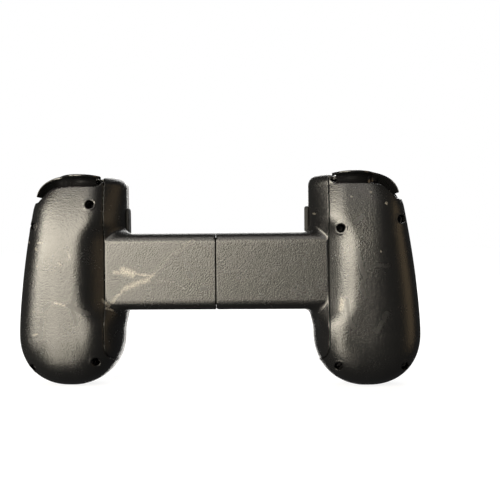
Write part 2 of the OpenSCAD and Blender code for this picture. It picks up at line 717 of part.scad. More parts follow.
// Shoulder bracket of a half, which carries the trigger's pin and the bumper's pin
pivot_y = board_y - 5.5 + 2 * wall;
pivot_z = z_top - 4.8;
web_y0 = part_y - 1.9;
web_y1 = part_y - 0.8;
web_x0 = trigger_x - 7;
web_x1 = trigger_x + 14.4 - wall;
web_z0 = z_top - 14;
web_z1 = z_top - 3.4;
ear_t = 1.6;
ear_r = 2;
inner_ear_x = trigger_x - 5.8;
outer_ear_x = trigger_x + 6.8;
bumper_pivot = [trigger_x - 6.4, z_top - 3.6 - bumper_t];
bracket_post_r = 1.8;
bracket_posts = [[trigger_x + 3, web_z0 + 2], [trigger_x + 10, web_z0 + 2]];
module ear_outline(r) {
    translate([pivot_y, pivot_z]) circle(r);
    translate([pivot_y, pivot_z - r]) square([web_y1 - pivot_y, 2 * r]);
}
module shoulder_bracket(side) half(side) color(rubber_black) difference() {
    union() {
        block([web_x0, web_y0, web_z0], [web_x1, web_y1, web_z1 - bumper_t]);
        rod_y(bumper_pivot.x, bumper_pivot[1], web_y0, web_y1, 2 * bumper_pin_r);
        for (x = [inner_ear_x, outer_ear_x]) slab_x(x - ear_t / 2, x + ear_t / 2) ear_outline(ear_r);
        for (p = bracket_posts) rod_y(p.x, p[1], web_y0, plate_y, bracket_post_r);
    }
    rod_x(0, far, pivot_y, pivot_z, trigger_pin_r);
    rod_y(bumper_pivot.x, bumper_pivot[1], rear_y, front_y, bumper_pin_r);
    for (p = screw_places(side)) rod_y(p.x, p[1], rear_y, front_y, boss_r + screw_room);
}
pin_over = 0.6 + ear_t / 2;
module trigger_pin(side) half(side) color(bright_steel)
    rod_x(inner_ear_x - pin_over, outer_ear_x + pin_over, pivot_y, pivot_z, trigger_pin_r);
module bumper_pin(side) half(side) color(bright_steel)
    rod_y(bumper_pivot.x, bumper_pivot[1], web_y0, bumper_y1 - 1, bumper_pin_r);

// Trigger: a band swept along the shoulder, with a flared lip, on two levers that turn on the pin
lip_y = rear_y + 4;
trigger_front_y = part_y - 1.2;
trigger_fit = 0.95;
edge_section_z = z_mid + (edge_level - z_mid) / (1 - 2 * wall / (z_top - z_low));
band_y = part_y - belly(edge_level) + wall + trigger_fit;
band_t = 1.6;
lip_r = 0.5;
trigger_top_t = 2.4;
trigger_slope = 0.8;
band_n = 5;
band_turn = 75;
trigger_n = 22;
trigger_t0 = 107;
trigger_t1 = 12;
narrow_x = trigger_x + 9;
narrow_w = 11;
narrow = 0.45;
least_lip = 0.6;
least_band = 0.3;
lip_profile = [for (t = [0 : 45 : 180]) [lip_r - lip_r * cos(t), lip_y + lip_r - lip_r * sin(t)]];
band_profile = [for (i = [1 : band_n]) let (t = band_turn * i / band_n) [
    2 * lip_r + (band_w - 2 * lip_r) * (1 - cos(t)) / (1 - cos(band_turn)),
    lip_y + lip_r + (band_y - lip_y - lip_r) * sin(t) / sin(band_turn)
]];
trigger_profile = concat(lip_profile, band_profile, [
    [band_w, band_y + band_t], [trigger_top_t + 2, band_y + band_t],
    [trigger_top_t, band_y + 2 * band_t], [trigger_top_t, trigger_front_y], [trigger_slope, trigger_front_y]
]);
function trigger_angle(i) = trigger_t0 + (trigger_t1 - trigger_t0) * i / trigger_n;
function trigger_depth(x, low) = max(low,
    (trigger_front_y - back_y(x, edge_section_z, wall) - trigger_fit) / (trigger_front_y - band_y));
function trigger_ring(i) =
    let (t = trigger_angle(i), p = oval(lip_a, lip_b, t))
    let (q = oval(lip_a, lip_b, t - 0.5) - oval(lip_a, lip_b, t + 0.5), n = unit([-q[1], q.x]))
    let (s = 1 - narrow * ease((p.x - narrow_x) / narrow_w))
    let (f0 = trigger_depth(p.x, least_lip), f1 = trigger_depth(p.x - band_w * s * n.x, least_band))
    [for (c = trigger_profile) let (f = f0 + (f1 - f0) * ease(c.x / band_w)) [
        p.x - c.x * s * n.x, trigger_front_y + (c.y - trigger_front_y) * f, p[1] - c.x * s * n[1]
    ]];
lever_t = 2;
lever_places = [trigger_x - 3.2, trigger_x + 4.6];
function lip_z(x) =
    trigger_z + lip_b * pow(1 - pow(abs(x - trigger_x) / lip_a, trigger_power), 1 / trigger_power);
module trigger_band() {
    m = len(trigger_profile);
    points = [for (i = [0 : trigger_n]) each trigger_ring(i)];
    sides = [for (i = [0 : trigger_n - 1]) for (k = [0 : m - 1])
        let (a = i * m + k, b = i * m + (k + 1) % m) each [[a, a + m, b + m], [a, b + m, b]]];
    ends = [[for (k = [0 : m - 1]) k], [for (k = [m - 1 : -1 : 0]) trigger_n * m + k]];
    polyhedron(points = points, faces = concat(sides, ends));
}
module trigger(side) half(side) color(gloss_black) difference() {
    union() {
        trigger_band();
        for (x = lever_places) slab_x(x - lever_t / 2, x + lever_t / 2) {
            translate([pivot_y, pivot_z]) circle(ear_r);
            translate([pivot_y - ear_r, pivot_z])
                square([2 * ear_r, lip_z(x) - 2 * trigger_top_t / 3 - pivot_z]);
        }
    }
    rod_x(0, far, pivot_y, pivot_z, trigger_pin_r + pin_fit);
}

// Coil round the trigger's pin that returns the trigger, with a leg on the web and a leg under the trigger
coil_r = 1.6;
coil_wire_r = 0.25;
coil_turns = 4;
coil_steps = 7;
coil_x0 = lever_places[0] + 2.4;
coil_x1 = lever_places[1] - 2.4;
leg = 2.6;
leg_lean = 0.8;
upper_leg = 2.8;
module trigger_spring(side) half(side) color(bright_steel) wire(concat(
    [[coil_x0, pivot_y + coil_r - leg_lean, pivot_z - leg]],
    [for (i = [0 : coil_turns * coil_steps]) let (a = 360 * i / coil_steps) [
        coil_x0 + (coil_x1 - coil_x0) * i / (coil_turns * coil_steps),
        pivot_y + coil_r * cos(a), pivot_z + coil_r * sin(a)
    ]],
    [[coil_x1, pivot_y + coil_r, pivot_z + upper_leg]]
), coil_wire_r, [1, 0, 0]);

// Bumper: a curved bar in front of the trigger that turns on a pin at its inner end
bumper_t0 = 105;
bumper_t1 = 14;
bumper_n = 14;
function bumper_angle(i) = bumper_t0 + (bumper_t1 - bumper_t0) * i / bumper_n;
module bumper(side) half(side) color(satin_black) difference() {
    union() {
        slab_y(bumper_y0, bumper_y1) polygon(concat(
            [for (i = [0 : bumper_n]) oval(bumper_a, bumper_b, bumper_angle(i))],
            [for (i = [bumper_n : -1 : 0]) oval(bumper_a - bumper_t, bumper_b - bumper_t, bumper_angle(i))]
        ));
        slab_y(bumper_y0, bumper_y1) translate(bumper_pivot) {
            circle(2 * bumper_pin_r);
            translate([-2 * bumper_pin_r, 0]) square([4 * bumper_pin_r, 2 * bumper_t]);
        }
    }
    rod_y(bumper_pivot.x, bumper_pivot[1], rear_y, front_y, bumper_pin_r + pin_fit);
}

// Thumbstick: housing, tilting yoke, pivot sleeve, shaft and rubber cap
stick_y = front_y - 7;
housing_w = 12;
housing_wall = 1;
housing_y1 = stick_y + 1.6;
yoke_w = 9.4;
yoke_h = 7.6;
yoke_hole_w = 6.6;
yoke_hole_h = 5.2;
yoke_t = 2;
yoke_pin_r = 0.8;
pivot_r = 2.3;
pivot_t = 2;
pivot_pin_r = 0.7;
shaft_r = 1.6;
shaft_y0 = stick_y - 1.2;
stick_top_y = overall_d / 2;
cap_t = 3.2;
shaft_y1 = stick_top_y - cap_t / 2;
skirt_r = 10;
skirt_t = 0.9;
skirt_rim = 1.4;
neck_r = 3.4;
dish = 0.9;
cap_edge = 1;
module at_stick(side) half(side) translate([stick_place(side).x, 0, stick_place(side)[1]]) children();
module stick_housing(side) color(dark_steel) at_stick(side) difference() {
    block([-housing_w / 2, board_y, -housing_w / 2], [housing_w / 2, housing_y1, housing_w / 2]);
    block(
        [housing_wall - housing_w / 2, board_y + housing_wall, housing_wall - housing_w / 2],
        [housing_w / 2 - housing_wall, far, housing_w / 2 - housing_wall]
    );
    rod_x(-far, far, stick_y, 0, yoke_pin_r + pin_fit);
}
module stick_yoke(side) color(bright_steel) at_stick(side) difference() {
    union() {
        translate([0, stick_y, 0]) cube([yoke_w, yoke_t, yoke_h], center = true);
        rod_x(-housing_w / 2, housing_w / 2, stick_y, 0, yoke_pin_r);
    }
    block([-yoke_hole_w / 2, -far, -yoke_hole_h / 2], [yoke_hole_w / 2, far, yoke_hole_h / 2]);
    rod_z(0, stick_y, -far, far, pivot_pin_r + pin_fit);
}
module stick_pivot(side) color(bright_steel) at_stick(side) difference() {
    union() {
        rod_y(0, 0, stick_y - pivot_t / 2, stick_y + pivot_t / 2, pivot_r);
        rod_z(0, stick_y, -yoke_h / 2, yoke_h / 2, pivot_pin_r);
    }
    rod_y(0, 0, rear_y, front_y, shaft_r + pin_fit);
}
module stick_shaft(side) color(bright_steel) at_stick(side) rod_y(0, 0, shaft_y0, shaft_y1, shaft_r);
module stick_cap(side) color(rubber_black) at_stick(side) difference() {
    union() {
        turned_y(0, 0) polygon(concat(
            [[0, stick_top_y - dish], [stick_r - 3 * cap_edge, stick_top_y - dish]],
            [[stick_r - 2 * cap_edge, stick_top_y]],
            [for (t = [90 : -30 : 0]) [
                stick_r - cap_edge + cap_edge * cos(t), stick_top_y - cap_edge + cap_edge * sin(t)
            ]],
            [[stick_r - cap_edge, stick_top_y - cap_t], [neck_r, stick_top_y - cap_t - cap_edge / 2],
            [neck_r, stick_y], [0, stick_y]]
        ));
        intersection() {
            translate([0, stick_y, 0]) sphere(skirt_r);
            block([-far, stick_y + skirt_rim, -far], [far, far, far]);
        }
    }
    translate([0, stick_y, 0]) sphere(skirt_r - skirt_t);
    rod_y(0, 0, rear_y, shaft_y1, shaft_r + pin_fit);
}

// Face buttons on their rubber membrane
flange_t = 1.5;
flange_gap = 0.3;
face_rise = 2;
face_crown = 0.4;
stem_drop = 1;
flange_y1 = plate_y - flange_gap;
stem_y = flange_y1 - flange_t - stem_drop;
dome_y = stem_y - face_travel - 0.3;
module round_button(p, r, rise, crown, stem) turned_y(p.x, p[1]) polygon([
    [0, stem], [r / 2, stem], [r / 2, flange_y1 - flange_t], [r + flange, flange_y1 - flange_t],
    [r + flange, flange_y1], [r, flange_y1], [r, front_y + rise - 2 * crown],
    [r - crown, front_y + rise - crown], [0, front_y + rise]
]);
module face_button(i) half(right) color(satin_black)
    round_button(face_place(i), face_r, face_rise, face_crown, stem_y);
sheet_t = 1;
dome_r = 3.4;
dome_top_r = 2.2;
module dome(p) turned_y(p.x, p[1]) polygon([
    [0, board_y], [dome_r, board_y], [dome_r, board_y + sheet_t], [dome_top_r, dome_y], [0, dome_y]
]);
module face_button_membrane() half(right) color(silicone_grey) {
    rod_y(face_x, upper_z, board_y, board_y + sheet_t, face_pitch + 1);
    for (i = [0 : 3]) dome(face_place(i));
}

// Small buttons
small_rise = 0.8;
small_crown = 0.3;
module small_button(side, p) half(side) color(satin_black)
    round_button(p, small_r, small_rise, small_crown, small_stem_y);

// Direction pad: a cross on a ball in the middle of its rubber membrane
ball_r = 1.9;
ball_y = stick_y + 1.2;
ball_fit = 0.06;
dpad_y0 = ball_y + 0.4;
dpad_rise = 1.8;
dpad_dish_r = 6;
dpad_dish = 0.7;
skirt_w = 1.4;
cup_r = 3.2;
arm_place = 7.4;
pad_dome_y = dpad_y0 - 1.2;
module dpad_membrane() half(left) color(silicone_grey) {
    rod_y(lower_x, lower_z, board_y, board_y + sheet_t, arm_place + dome_r);
    rod_y(lower_x, lower_z, board_y, ball_y - ball_r - ball_fit, ball_r);
    for (a = [0 : 90 : 270])
        rod_y(lower_x + arm_place * cos(a), lower_z + arm_place * sin(a), board_y, pad_dome_y, dome_top_r);
}
module dpad_pivot() half(left) color(bright_steel) translate([lower_x, ball_y, lower_z]) sphere(ball_r);
module dpad() half(left) color(satin_black) translate([lower_x, 0, lower_z]) difference() {
    union() {
        slab_y(dpad_y0, front_y + dpad_rise) cross_outline(dpad_w, dpad_arm);
        slab_y(dpad_y0, dpad_y0 + skirt_w) circle(dpad_w / 2 - skirt_w);
        rod_y(0, 0, ball_y - ball_r / 4, dpad_y0 + 1, cup_r);
    }
    translate([0, ball_y, 0]) rotate([-90, 0, 0]) sphere(ball_r + ball_fit);
    turned_y(0, 0) polygon([
        [0, front_y + dpad_rise - dpad_dish], [2 * dpad_dish_r, front_y + dpad_rise + dpad_dish],
        [0, front_y + dpad_rise + dpad_dish]
    ]);
}

$fn = round_fn;
grip_back(right);  // right_grip_back
bridge_frame(right);  // right_bridge_frame
front_shell(right);  // right_front_shell
bridge_cover(right);  // right_bridge_cover
phone_pad(right);  // right_phone_pad
screws(right);  // right_screws
board(right);  // right_board
shoulder_bracket(right);  // right_shoulder_bracket
trigger(right);  // right_trigger
trigger_pin(right);  // right_trigger_pin
trigger_spring(right);  // right_trigger_spring
bumper(right);  // right_bumper
bumper_pin(right);  // right_bumper_pin
stick_housing(right);  // right_stick_housing
stick_yoke(right);  // right_stick_yoke
stick_pivot(right);  // right_stick_pivot
stick_shaft(right);  // right_stick_shaft
stick_cap(right);  // right_stick_cap
face_button_membrane();
face_button(1);  // face_button_top
face_button(3);  // face_button_bottom
face_button(2);  // face_button_inner
face_button(0);  // face_button_outer
small_button(right, small_upper);  // menu_button
small_button(right, small_lower);  // home_button
phone_plug();
plug_carrier();
charge_port();
bridge_slider();
slider_cover();
return_spring(right);  // right_return_spring
return_spring(left);  // left_return_spring
flex_cable();
grip_back(left);  // left_grip_back
bridge_frame(left);  // left_bridge_frame
front_shell(left);  // left_front_shell
bridge_cover(left);  // left_bridge_cover
phone_pad(left);  // left_phone_pad
screws(left);  // left_screws
board(left);  // left_board
shoulder_bracket(left);  // left_shoulder_bracket
trigger(left);  // left_trigger
trigger_pin(left);  // left_trigger_pin
trigger_spring(left);  // left_trigger_spring
bumper(left);  // left_bumper
bumper_pin(left);  // left_bumper_pin
stick_housing(left);  // left_stick_housing
stick_yoke(left);  // left_stick_yoke
stick_pivot(left);  // left_stick_pivot
stick_shaft(left);  // left_stick_shaft
stick_cap(left);  // left_stick_cap
dpad_membrane();
dpad_pivot();
dpad();
small_button(left, small_upper);  // options_button
small_button(left, small_lower);  // capture_button
headphone_jack();
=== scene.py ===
import math

import bpy
import numpy as np
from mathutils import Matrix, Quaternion, Vector


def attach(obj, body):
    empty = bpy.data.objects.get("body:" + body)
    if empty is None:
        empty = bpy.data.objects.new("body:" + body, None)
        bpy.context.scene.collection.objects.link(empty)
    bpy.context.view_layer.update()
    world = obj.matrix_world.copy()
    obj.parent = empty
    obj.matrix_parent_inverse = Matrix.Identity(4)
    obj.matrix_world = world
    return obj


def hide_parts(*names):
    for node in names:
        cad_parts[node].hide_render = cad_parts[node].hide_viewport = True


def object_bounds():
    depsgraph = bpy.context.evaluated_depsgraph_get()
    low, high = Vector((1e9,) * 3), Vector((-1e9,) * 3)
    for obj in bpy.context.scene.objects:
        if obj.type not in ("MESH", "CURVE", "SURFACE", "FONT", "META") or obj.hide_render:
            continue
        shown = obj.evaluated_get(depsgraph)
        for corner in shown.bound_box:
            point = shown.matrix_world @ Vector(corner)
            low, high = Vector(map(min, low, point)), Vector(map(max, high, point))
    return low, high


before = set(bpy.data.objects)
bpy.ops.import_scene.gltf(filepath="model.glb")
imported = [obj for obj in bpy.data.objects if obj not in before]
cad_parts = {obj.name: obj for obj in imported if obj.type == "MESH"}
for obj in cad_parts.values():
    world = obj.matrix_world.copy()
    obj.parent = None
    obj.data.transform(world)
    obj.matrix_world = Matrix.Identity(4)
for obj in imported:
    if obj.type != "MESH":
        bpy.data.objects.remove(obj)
cad_low, cad_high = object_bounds()


# Stage: a white floor that runs into a white surround and holds back no light from below it, with its glow
# painted darker round the object and brighter far off, a painted falloff of the lamps' light; a tall soft
# window at the photo's left, a dim warm lamp at its right, soft lamps above, and a fill and a window for the
# player's side.
class Signal:
    """A value in a node tree: arithmetic on it adds Math nodes, and node() adds a node of any other kind."""

    def __init__(self, tree, socket=None):
        self.tree = tree
        self.socket = socket

    def node(self, kind, settings=None, inputs=None, output=0):
        made = self.tree.nodes.new("ShaderNode" + kind)
        for name, value in (settings or {}).items():
            setattr(made, name, value)
        for name, value in (inputs or {}).items():
            if isinstance(value, Signal):
                self.tree.links.new(value.socket, made.inputs[name])
            else:
                made.inputs[name].default_value = value
        return Signal(self.tree, made.outputs[output])

    def math(self, operation, *values):
        return self.node("Math", {"operation": operation}, dict(enumerate(values)))

    def vector(self, operation, *values, output=0):
        return self.node("VectorMath", {"operation": operation}, dict(enumerate(values)), output)

    def __add__(self, other):
        return self.math("ADD", self, other)

    def __sub__(self, other):
        return self.math("SUBTRACT", self, other)

    def __rsub__(self, other):
        return self.math("SUBTRACT", other, self)

    def __mul__(self, other):
        return self.math("MULTIPLY", self, other)

    def __truediv__(self, other):
        return self.math("DIVIDE", self, other)

    __radd__ = __add__
    __rmul__ = __mul__


def noise(place, scale, detail=2.0, rough=0.5):
    return place.node("TexNoise", {}, {"Vector": place, "Scale": scale, "Detail": detail, "Roughness": rough})


def step(value, low, high):
    return value.node("MapRange", {"interpolation_type": "SMOOTHSTEP"}, {0: value, 1: low, 2: high})


def mixed(mask, first, second):
    return mask.node("Mix", {"data_type": "RGBA"}, {0: mask, 6: first, 7: second}, 2)


def lamp(name, place, aim, width, height, watts, colour):
    light = bpy.data.lights.new(name, "AREA")
    light.shape = "RECTANGLE"
    light.size, light.size_y = width, height
    light.energy = watts
    light.color = colour
    stand = bpy.data.objects.new(name, light)
    stand.location = place
    stand.rotation_euler = (Vector(aim) - Vector(place)).to_track_quat("-Z", "Y").to_euler()
    bpy.context.scene.collection.objects.link(stand)


scene = bpy.context.scene
scene.view_settings.view_transform = "Standard"
eye = bpy.data.objects.new("camera", bpy.data.cameras.new("camera"))
scene.collection.objects.link(eye)
scene.camera = eye
distance, turn, rise = 0.42, math.radians(4.0), math.radians(2.5)
back = Vector((math.sin(turn) * math.cos(rise), -math.cos(turn) * math.cos(rise), math.sin(rise)))
eye.location = back * distance
level = (-back).to_track_quat("-Z", "Y")
eye.rotation_euler = (level @ Quaternion((0, 0, 1), math.radians(-0.58))).to_euler()
eye.data.lens = 68.7
eye.data.shift_x, eye.data.shift_y = 0.065, 0.059
eye.data.clip_start = 0.01

middle = (0.0, 0.0, 0.0)
lamp("window", (-0.38, -0.67, 0.165), middle, 0.80, 0.43, 9.2, (1.0, 0.92, 0.76))
lamp("window_foot", (-0.33, -0.67, -0.27), middle, 0.26, 0.44, 2.2, (1.0, 0.92, 0.76))
lamp("side_window", (-0.74, -0.445, 0.10), middle, 0.26, 0.46, 2.8, (1.0, 0.93, 0.78))
lamp("warm_lamp", (0.70, -0.10, 0.05), (0.06, 0.0, 0.0), 0.30, 0.50, 0.3, (1.0, 0.72, 0.40))
lamp("top_lamp", (-0.08, -0.54, 0.61), middle, 0.60, 0.52, 1.6, (1.0, 0.95, 0.86))
lamp("front_fill", (0.15, 0.75, 0.55), middle, 0.80, 0.80, 7.0, (1.0, 0.99, 0.97))
lamp("front_window", (-0.06, 0.85, -0.04), middle, 0.34, 0.60, 1.6, (1.0, 0.98, 0.94))

scene.world = bpy.data.worlds.new("surround")
scene.world.use_nodes = True
air = scene.world.node_tree
sky = Signal(air)
seen = sky.node("LightPath", output="Is Camera Ray")
shade = mixed(seen, (0.05, 0.05, 0.05, 1), (1, 1, 1, 1))
air.links.new(shade.socket, air.nodes["Background"].inputs["Color"])

bpy.ops.mesh.primitive_plane_add(size=8, location=(0, 0, cad_low[2]))
floor = bpy.context.object
floor.name = "floor"
floor_paper = bpy.data.materials.new("floor_paper")
floor_paper.use_nodes = True
paper = Signal(floor_paper.node_tree)
direct = paper.node("LightPath", output="Is Camera Ray")
lit = paper.node("BsdfDiffuse", {}, {"Color": (0.3, 0.3, 0.3, 1)})
clear = paper.node("BsdfTransparent")
spot = paper.node("NewGeometry", output="Position")
away = spot.vector("LENGTH", spot, output=1)
# Painted light on the floor: its glow is 0.86 near the object and rises to 1.0 far off, a painted falloff of
# the lamps' light.
painted_lamp_falloff = mixed(step(away, 0.11, 0.4), (0.86, 0.86, 0.86, 1), (1, 1, 1, 1))
glow = paper.node("Emission", {}, {"Color": painted_lamp_falloff})
both = paper.node("AddShader", {}, {0: lit, 1: glow})
shown = paper.node("MixShader", {}, {0: direct, 1: clear, 2: both})
paper.tree.links.new(shown.socket, paper.tree.nodes["Material Output"].inputs["Surface"])
floor.data.materials.append(floor_paper)


# Circuit boards, flex cable, sockets and steelwork: green solder-masked boards, a polyimide ribbon, and
# stamped, drawn or plated steel. Once the covers are on only the plug, the port and, with the bridge open,
# the slider's cover show.
def finish(name, fixed, recipe):
    """A material with its fixed sockets and what recipe(place) returns wired in, place in millimetres."""
    material = bpy.data.materials.new(name)
    material.use_nodes = True
    surface = material.node_tree.nodes["Principled BSDF"]
    for socket, value in fixed.items():
        surface.inputs[socket].default_value = value
    metres = Signal(material.node_tree).node("TexCoord", output="Object")
    place = metres.node("VectorMath", {"operation": "SCALE"}, {0: metres, "Scale": 1000.0})
    for socket, value in recipe(place).items():
        material.node_tree.links.new(value.socket, surface.inputs[socket])
    return material


def relief(height, strength, depth):
    return height.node("Bump", {}, {"Strength": strength, "Distance": depth * 0.001, "Height": height})


def dress(material, *names):
    for name in names:
        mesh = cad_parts[name].data
        mesh.materials.clear()
        mesh.materials.append(material)


def board_recipe(place):
    flat = place.node("VectorRotate", {"rotation_type": "X_AXIS"}, {"Vector": place, "Angle": math.pi / 2})
    tracks = place.node("TexBrick", {"offset": 0.5}, {
        "Vector": flat, "Scale": 0.5, "Mortar Size": 0.05, "Brick Width": 0.9, "Row Height": 0.35}, 1)
    speckle = noise(place, 1.3, 4.0)
    green = mixed(speckle, (0.006, 0.045, 0.022, 1), (0.01, 0.075, 0.038, 1))
    return {"Base Color": mixed(tracks, green, (0.03, 0.14, 0.07, 1)), "Roughness": speckle * 0.2 + 0.3,
            "Normal": relief(tracks, 0.4, 0.05)}


def ribbon_recipe(place):
    streaks = noise(place, 0.8, 3.0)
    return {"Base Color": mixed(streaks, (0.2, 0.08, 0.015, 1), (0.31, 0.13, 0.03, 1)),
            "Roughness": streaks * 0.2 + 0.2, "Normal": relief(streaks, 0.2, 0.05)}


def bright_recipe(place):
    drawn = noise(place.vector("MULTIPLY", place, (0.4, 3.0, 3.0)), 2.0, 4.0)
    stain = noise(place, 0.25, 2.0)
    return {"Base Color": mixed(stain, (0.43, 0.45, 0.47, 1), (0.55, 0.56, 0.57, 1)),
            "Roughness": drawn * 0.22 + 0.2, "Normal": relief(drawn, 0.15, 0.02)}


def dark_recipe(place):
    coat = noise(place, 1.5, 4.0)
    along = place.vector("MULTIPLY", place, (0.03, 1.0, 1.0))
    rub = step(noise(along, 0.8, 3.0), 0.5, 0.75)
    return {"Base Color": mixed(rub, (0.035, 0.035, 0.038, 1), (0.075, 0.075, 0.08, 1)),
            "Roughness": coat * 0.25 + 0.32, "Normal": relief(coat, 0.3, 0.03)}


solder_mask = finish("solder_mask", {}, board_recipe)
ribbon_film = finish("ribbon_film", {"Coat Weight": 0.4}, ribbon_recipe)
bright_steel = finish("bright_steel", {"Metallic": 1.0}, bright_recipe)
dark_steel = finish("dark_steel", {"Metallic": 0.85}, dark_recipe)
dress(solder_mask, "right_board", "left_board")
dress(ribbon_film, "flex_cable")
dress(bright_steel, "phone_plug", "charge_port", "dpad_pivot", "right_return_spring", "left_return_spring")
for hand in ("right", "left"):
    dress(bright_steel, *(f"{hand}_{n}" for n in (
        "trigger_pin", "trigger_spring", "bumper_pin", "stick_yoke", "stick_pivot", "stick_shaft")))
    dress(dark_steel, f"{hand}_stick_housing")
dress(dark_steel, "slider_cover")


# Sliding core, brackets and carriers: black moulded nylon, plain from the tool, with the slide's long rub
# marks where the core runs in the bridge; the membranes are grey silicone.
def nylon_recipe(place):
    along = place.vector("MULTIPLY", place, (0.03, 1.0, 1.6))
    rub = step(noise(along, 1.0, 3.0), 0.52, 0.7)
    grain = noise(place, 3.0, 3.0)
    return {"Base Color": mixed(rub, (0.02, 0.02, 0.021, 1), (0.045, 0.045, 0.047, 1)),
            "Roughness": 0.55 - rub * 0.2 + grain * 0.1, "Normal": relief(grain, 0.25, 0.03)}


def silicone_recipe(place):
    cloud = noise(place, 0.4, 3.0)
    dust = noise(place, 4.0, 2.0)
    return {"Base Color": mixed(cloud, (0.22, 0.24, 0.25, 1), (0.3, 0.32, 0.33, 1)),
            "Roughness": dust * 0.25 + 0.4, "Normal": relief(dust, 0.2, 0.03)}


moulded_nylon = finish("moulded_nylon", {}, nylon_recipe)
grey_silicone = finish("grey_silicone", {"Subsurface Weight": 0.15}, silicone_recipe)
dress(moulded_nylon, "bridge_slider", "plug_carrier", "headphone_jack", "right_shoulder_bracket",
      "left_shoulder_bracket")
dress(grey_silicone, "face_button_membrane", "dpad_membrane")


# Bridge frames: one moulding for each half, satin black, with the flat sleeve of the bridge running in a soft
# hollow into the strip beside the rear cover. The sliding core runs in the sleeve.
mesh_step = 0.65
grip_middle, grip_half, widest, casing_top = 65, 23, -23.2, 45.2
belly_full, roll_power, parting, seam_x = 18, 2.6, 1, 48.4
bridge_level, bridge_middle = 3.9, -5.5
seam_gap, wall, cover_end = 0.07, 2.0, 0.92


def smooth_max(a, b, soft):
    near = np.maximum(soft - np.abs(a - b), 0) / soft
    return np.maximum(a, b) + near * near * soft / 4


def smooth_min(a, b, soft):
    return -smooth_max(-a, -b, soft)


def rounded(a, b, radius):
    """Distance to where two half spaces meet, with a round corner; a and b are set in by its radius."""
    return np.minimum(np.maximum(a, b), 0) + np.hypot(np.maximum(a, 0), np.maximum(b, 0)) - radius


def true_distance(raw, x, y, z, reach=0.05):
    """A form's value over its own slope, which is near to a distance in millimetres."""
    slope = ((raw(x + reach, y, z) - raw(x - reach, y, z)) ** 2
             + (raw(x, y + reach, z) - raw(x, y - reach, z)) ** 2
             + (raw(x, y, z + reach) - raw(x, y, z - reach)) ** 2) / (4 * reach * reach)
    return raw(x, y, z) / np.sqrt(np.maximum(slope, 0.04))


def ease(t):
    t = np.clip(t, 0, 1)
    return t * t * (3 - 2 * t)


def turn_in(past, along, inward):
    return inward * (1 - np.sqrt(1 - np.clip(past / along, 0, 1) ** 2))


def end_share(z, power):
    return np.maximum(0, 1 - np.clip((widest - z) / grip_half, 0, 1) ** power) ** (1 / power)


def outer_edge(z):
    taper = 9.85 * np.clip((z - widest) / (casing_top - widest), 0, 1.1) ** 1.5
    return grip_middle + grip_half * end_share(z, 2.2) - taper - turn_in(z - 30.8, 14.4, 15)


def top_corner(z, radius=4.5):
    return turn_in(z - casing_top + radius, radius, radius)


def inner_edge(z):
    return grip_middle - grip_half * end_share(z, 2.2) - 2 * ease((z - widest) / 12) + top_corner(z)


def belly_depth(z):
    return np.maximum(0.3, belly_full * end_share(z, 2.7) - 4.7 * np.clip((z - 6) / 33, 0, 1.06) ** 2)


def crown(z):
    return np.minimum(64.6, outer_edge(z) - 6)


def used_up(x, z):
    """How much of the belly's depth is gone at x: none along the crown, all at the rim. Beside the seam the
    belly rolls over late and steeply, sooner beside the bridge; its low end is a plain rounded one."""
    far = np.clip((57.5 + 5.2 * np.exp(-((z - 4) / 19.5) ** 6) - x) / 14, 0, 2)
    drop = 13.3 * np.where(far < 1, far ** 3 - far ** 4 / 2, far - 0.5)
    rolled = 1 - (1 - np.clip(drop / belly_depth(z), 0, 1)) ** roll_power
    plain = (np.maximum(crown(z) - x, 0) / np.maximum(crown(z) - inner_edge(z), 0.5)) ** roll_power
    low_end = plain + (rolled - plain) * ease((z + 38) / 16)
    outward = (np.maximum(x - crown(z), 0) / np.maximum(outer_edge(z) - crown(z), 0.5)) ** roll_power
    return np.where(x < crown(z), low_end, outward)


def strip_back(z):
    left_over = np.maximum(0, 1 - used_up(seam_x + 0 * z, z)) ** (1 / roll_power)
    return parting - belly_depth(z) * left_over + top_corner(z)


def strip_form(x, y, z):
    middle = crown(z)
    half = np.maximum(middle - inner_edge(z), 0.5)
    power = 2.2 - 0.6 * ease((z + 35.2) / 14)
    at_seam = (1 - np.clip((middle - seam_x) / half, 0, 0.97) ** power) ** (1 / power)
    deep = np.maximum(0.3, parting - strip_back(z)) / at_seam
    share = (np.maximum(0, middle - x) / half) ** power + (np.maximum(0, parting - y) / deep) ** power
    return (share ** (1 / power) - 1) * np.minimum(half, deep)


def seam_form(x, y, z):
    return (np.hypot(np.maximum(x - 42.4, 0) / 6, np.maximum(-28.2 - z, 0) / 7) - 1) * 6.5 + 0 * y


def channel(y, z):
    """Distance to the sliding core's channel through the bridge and into the grips."""
    return np.maximum(np.abs(y - bridge_middle) - 2.5, np.abs(z - bridge_level) - 14.7)


def bridge_frame(x, y, z):
    strip = true_distance(strip_form, x, y, z)
    seam = true_distance(seam_form, x, y, z)
    body = smooth_max(smooth_max(strip, seam + seam_gap, 0.3), z - casing_top, 0.5)
    edge = np.where(y < bridge_middle, 4.4, 0.6)
    off_level = np.abs(z - bridge_level)
    sleeve = rounded(np.abs(y - bridge_middle) - 4.5 + edge, off_level - 16.7 + edge, edge)
    sleeve = smooth_max(smooth_max(sleeve, 0.15 - x, 0.25), x - 48.1, 0.5)
    soft = 0.4 + 3.8 * ease((off_level - 10.5) / 6.2) * ease((48.2 - x) / 8)
    form = smooth_max(smooth_min(body, sleeve, soft), y - cover_end, 0.3)
    form = smooth_max(form, -(strip + wall), 0.3)
    bay = np.maximum(np.maximum(x - 38.3, -8 - y), off_level - 14.7)
    return smooth_max(form, -np.minimum(bay, channel(y, z)), 0.3)


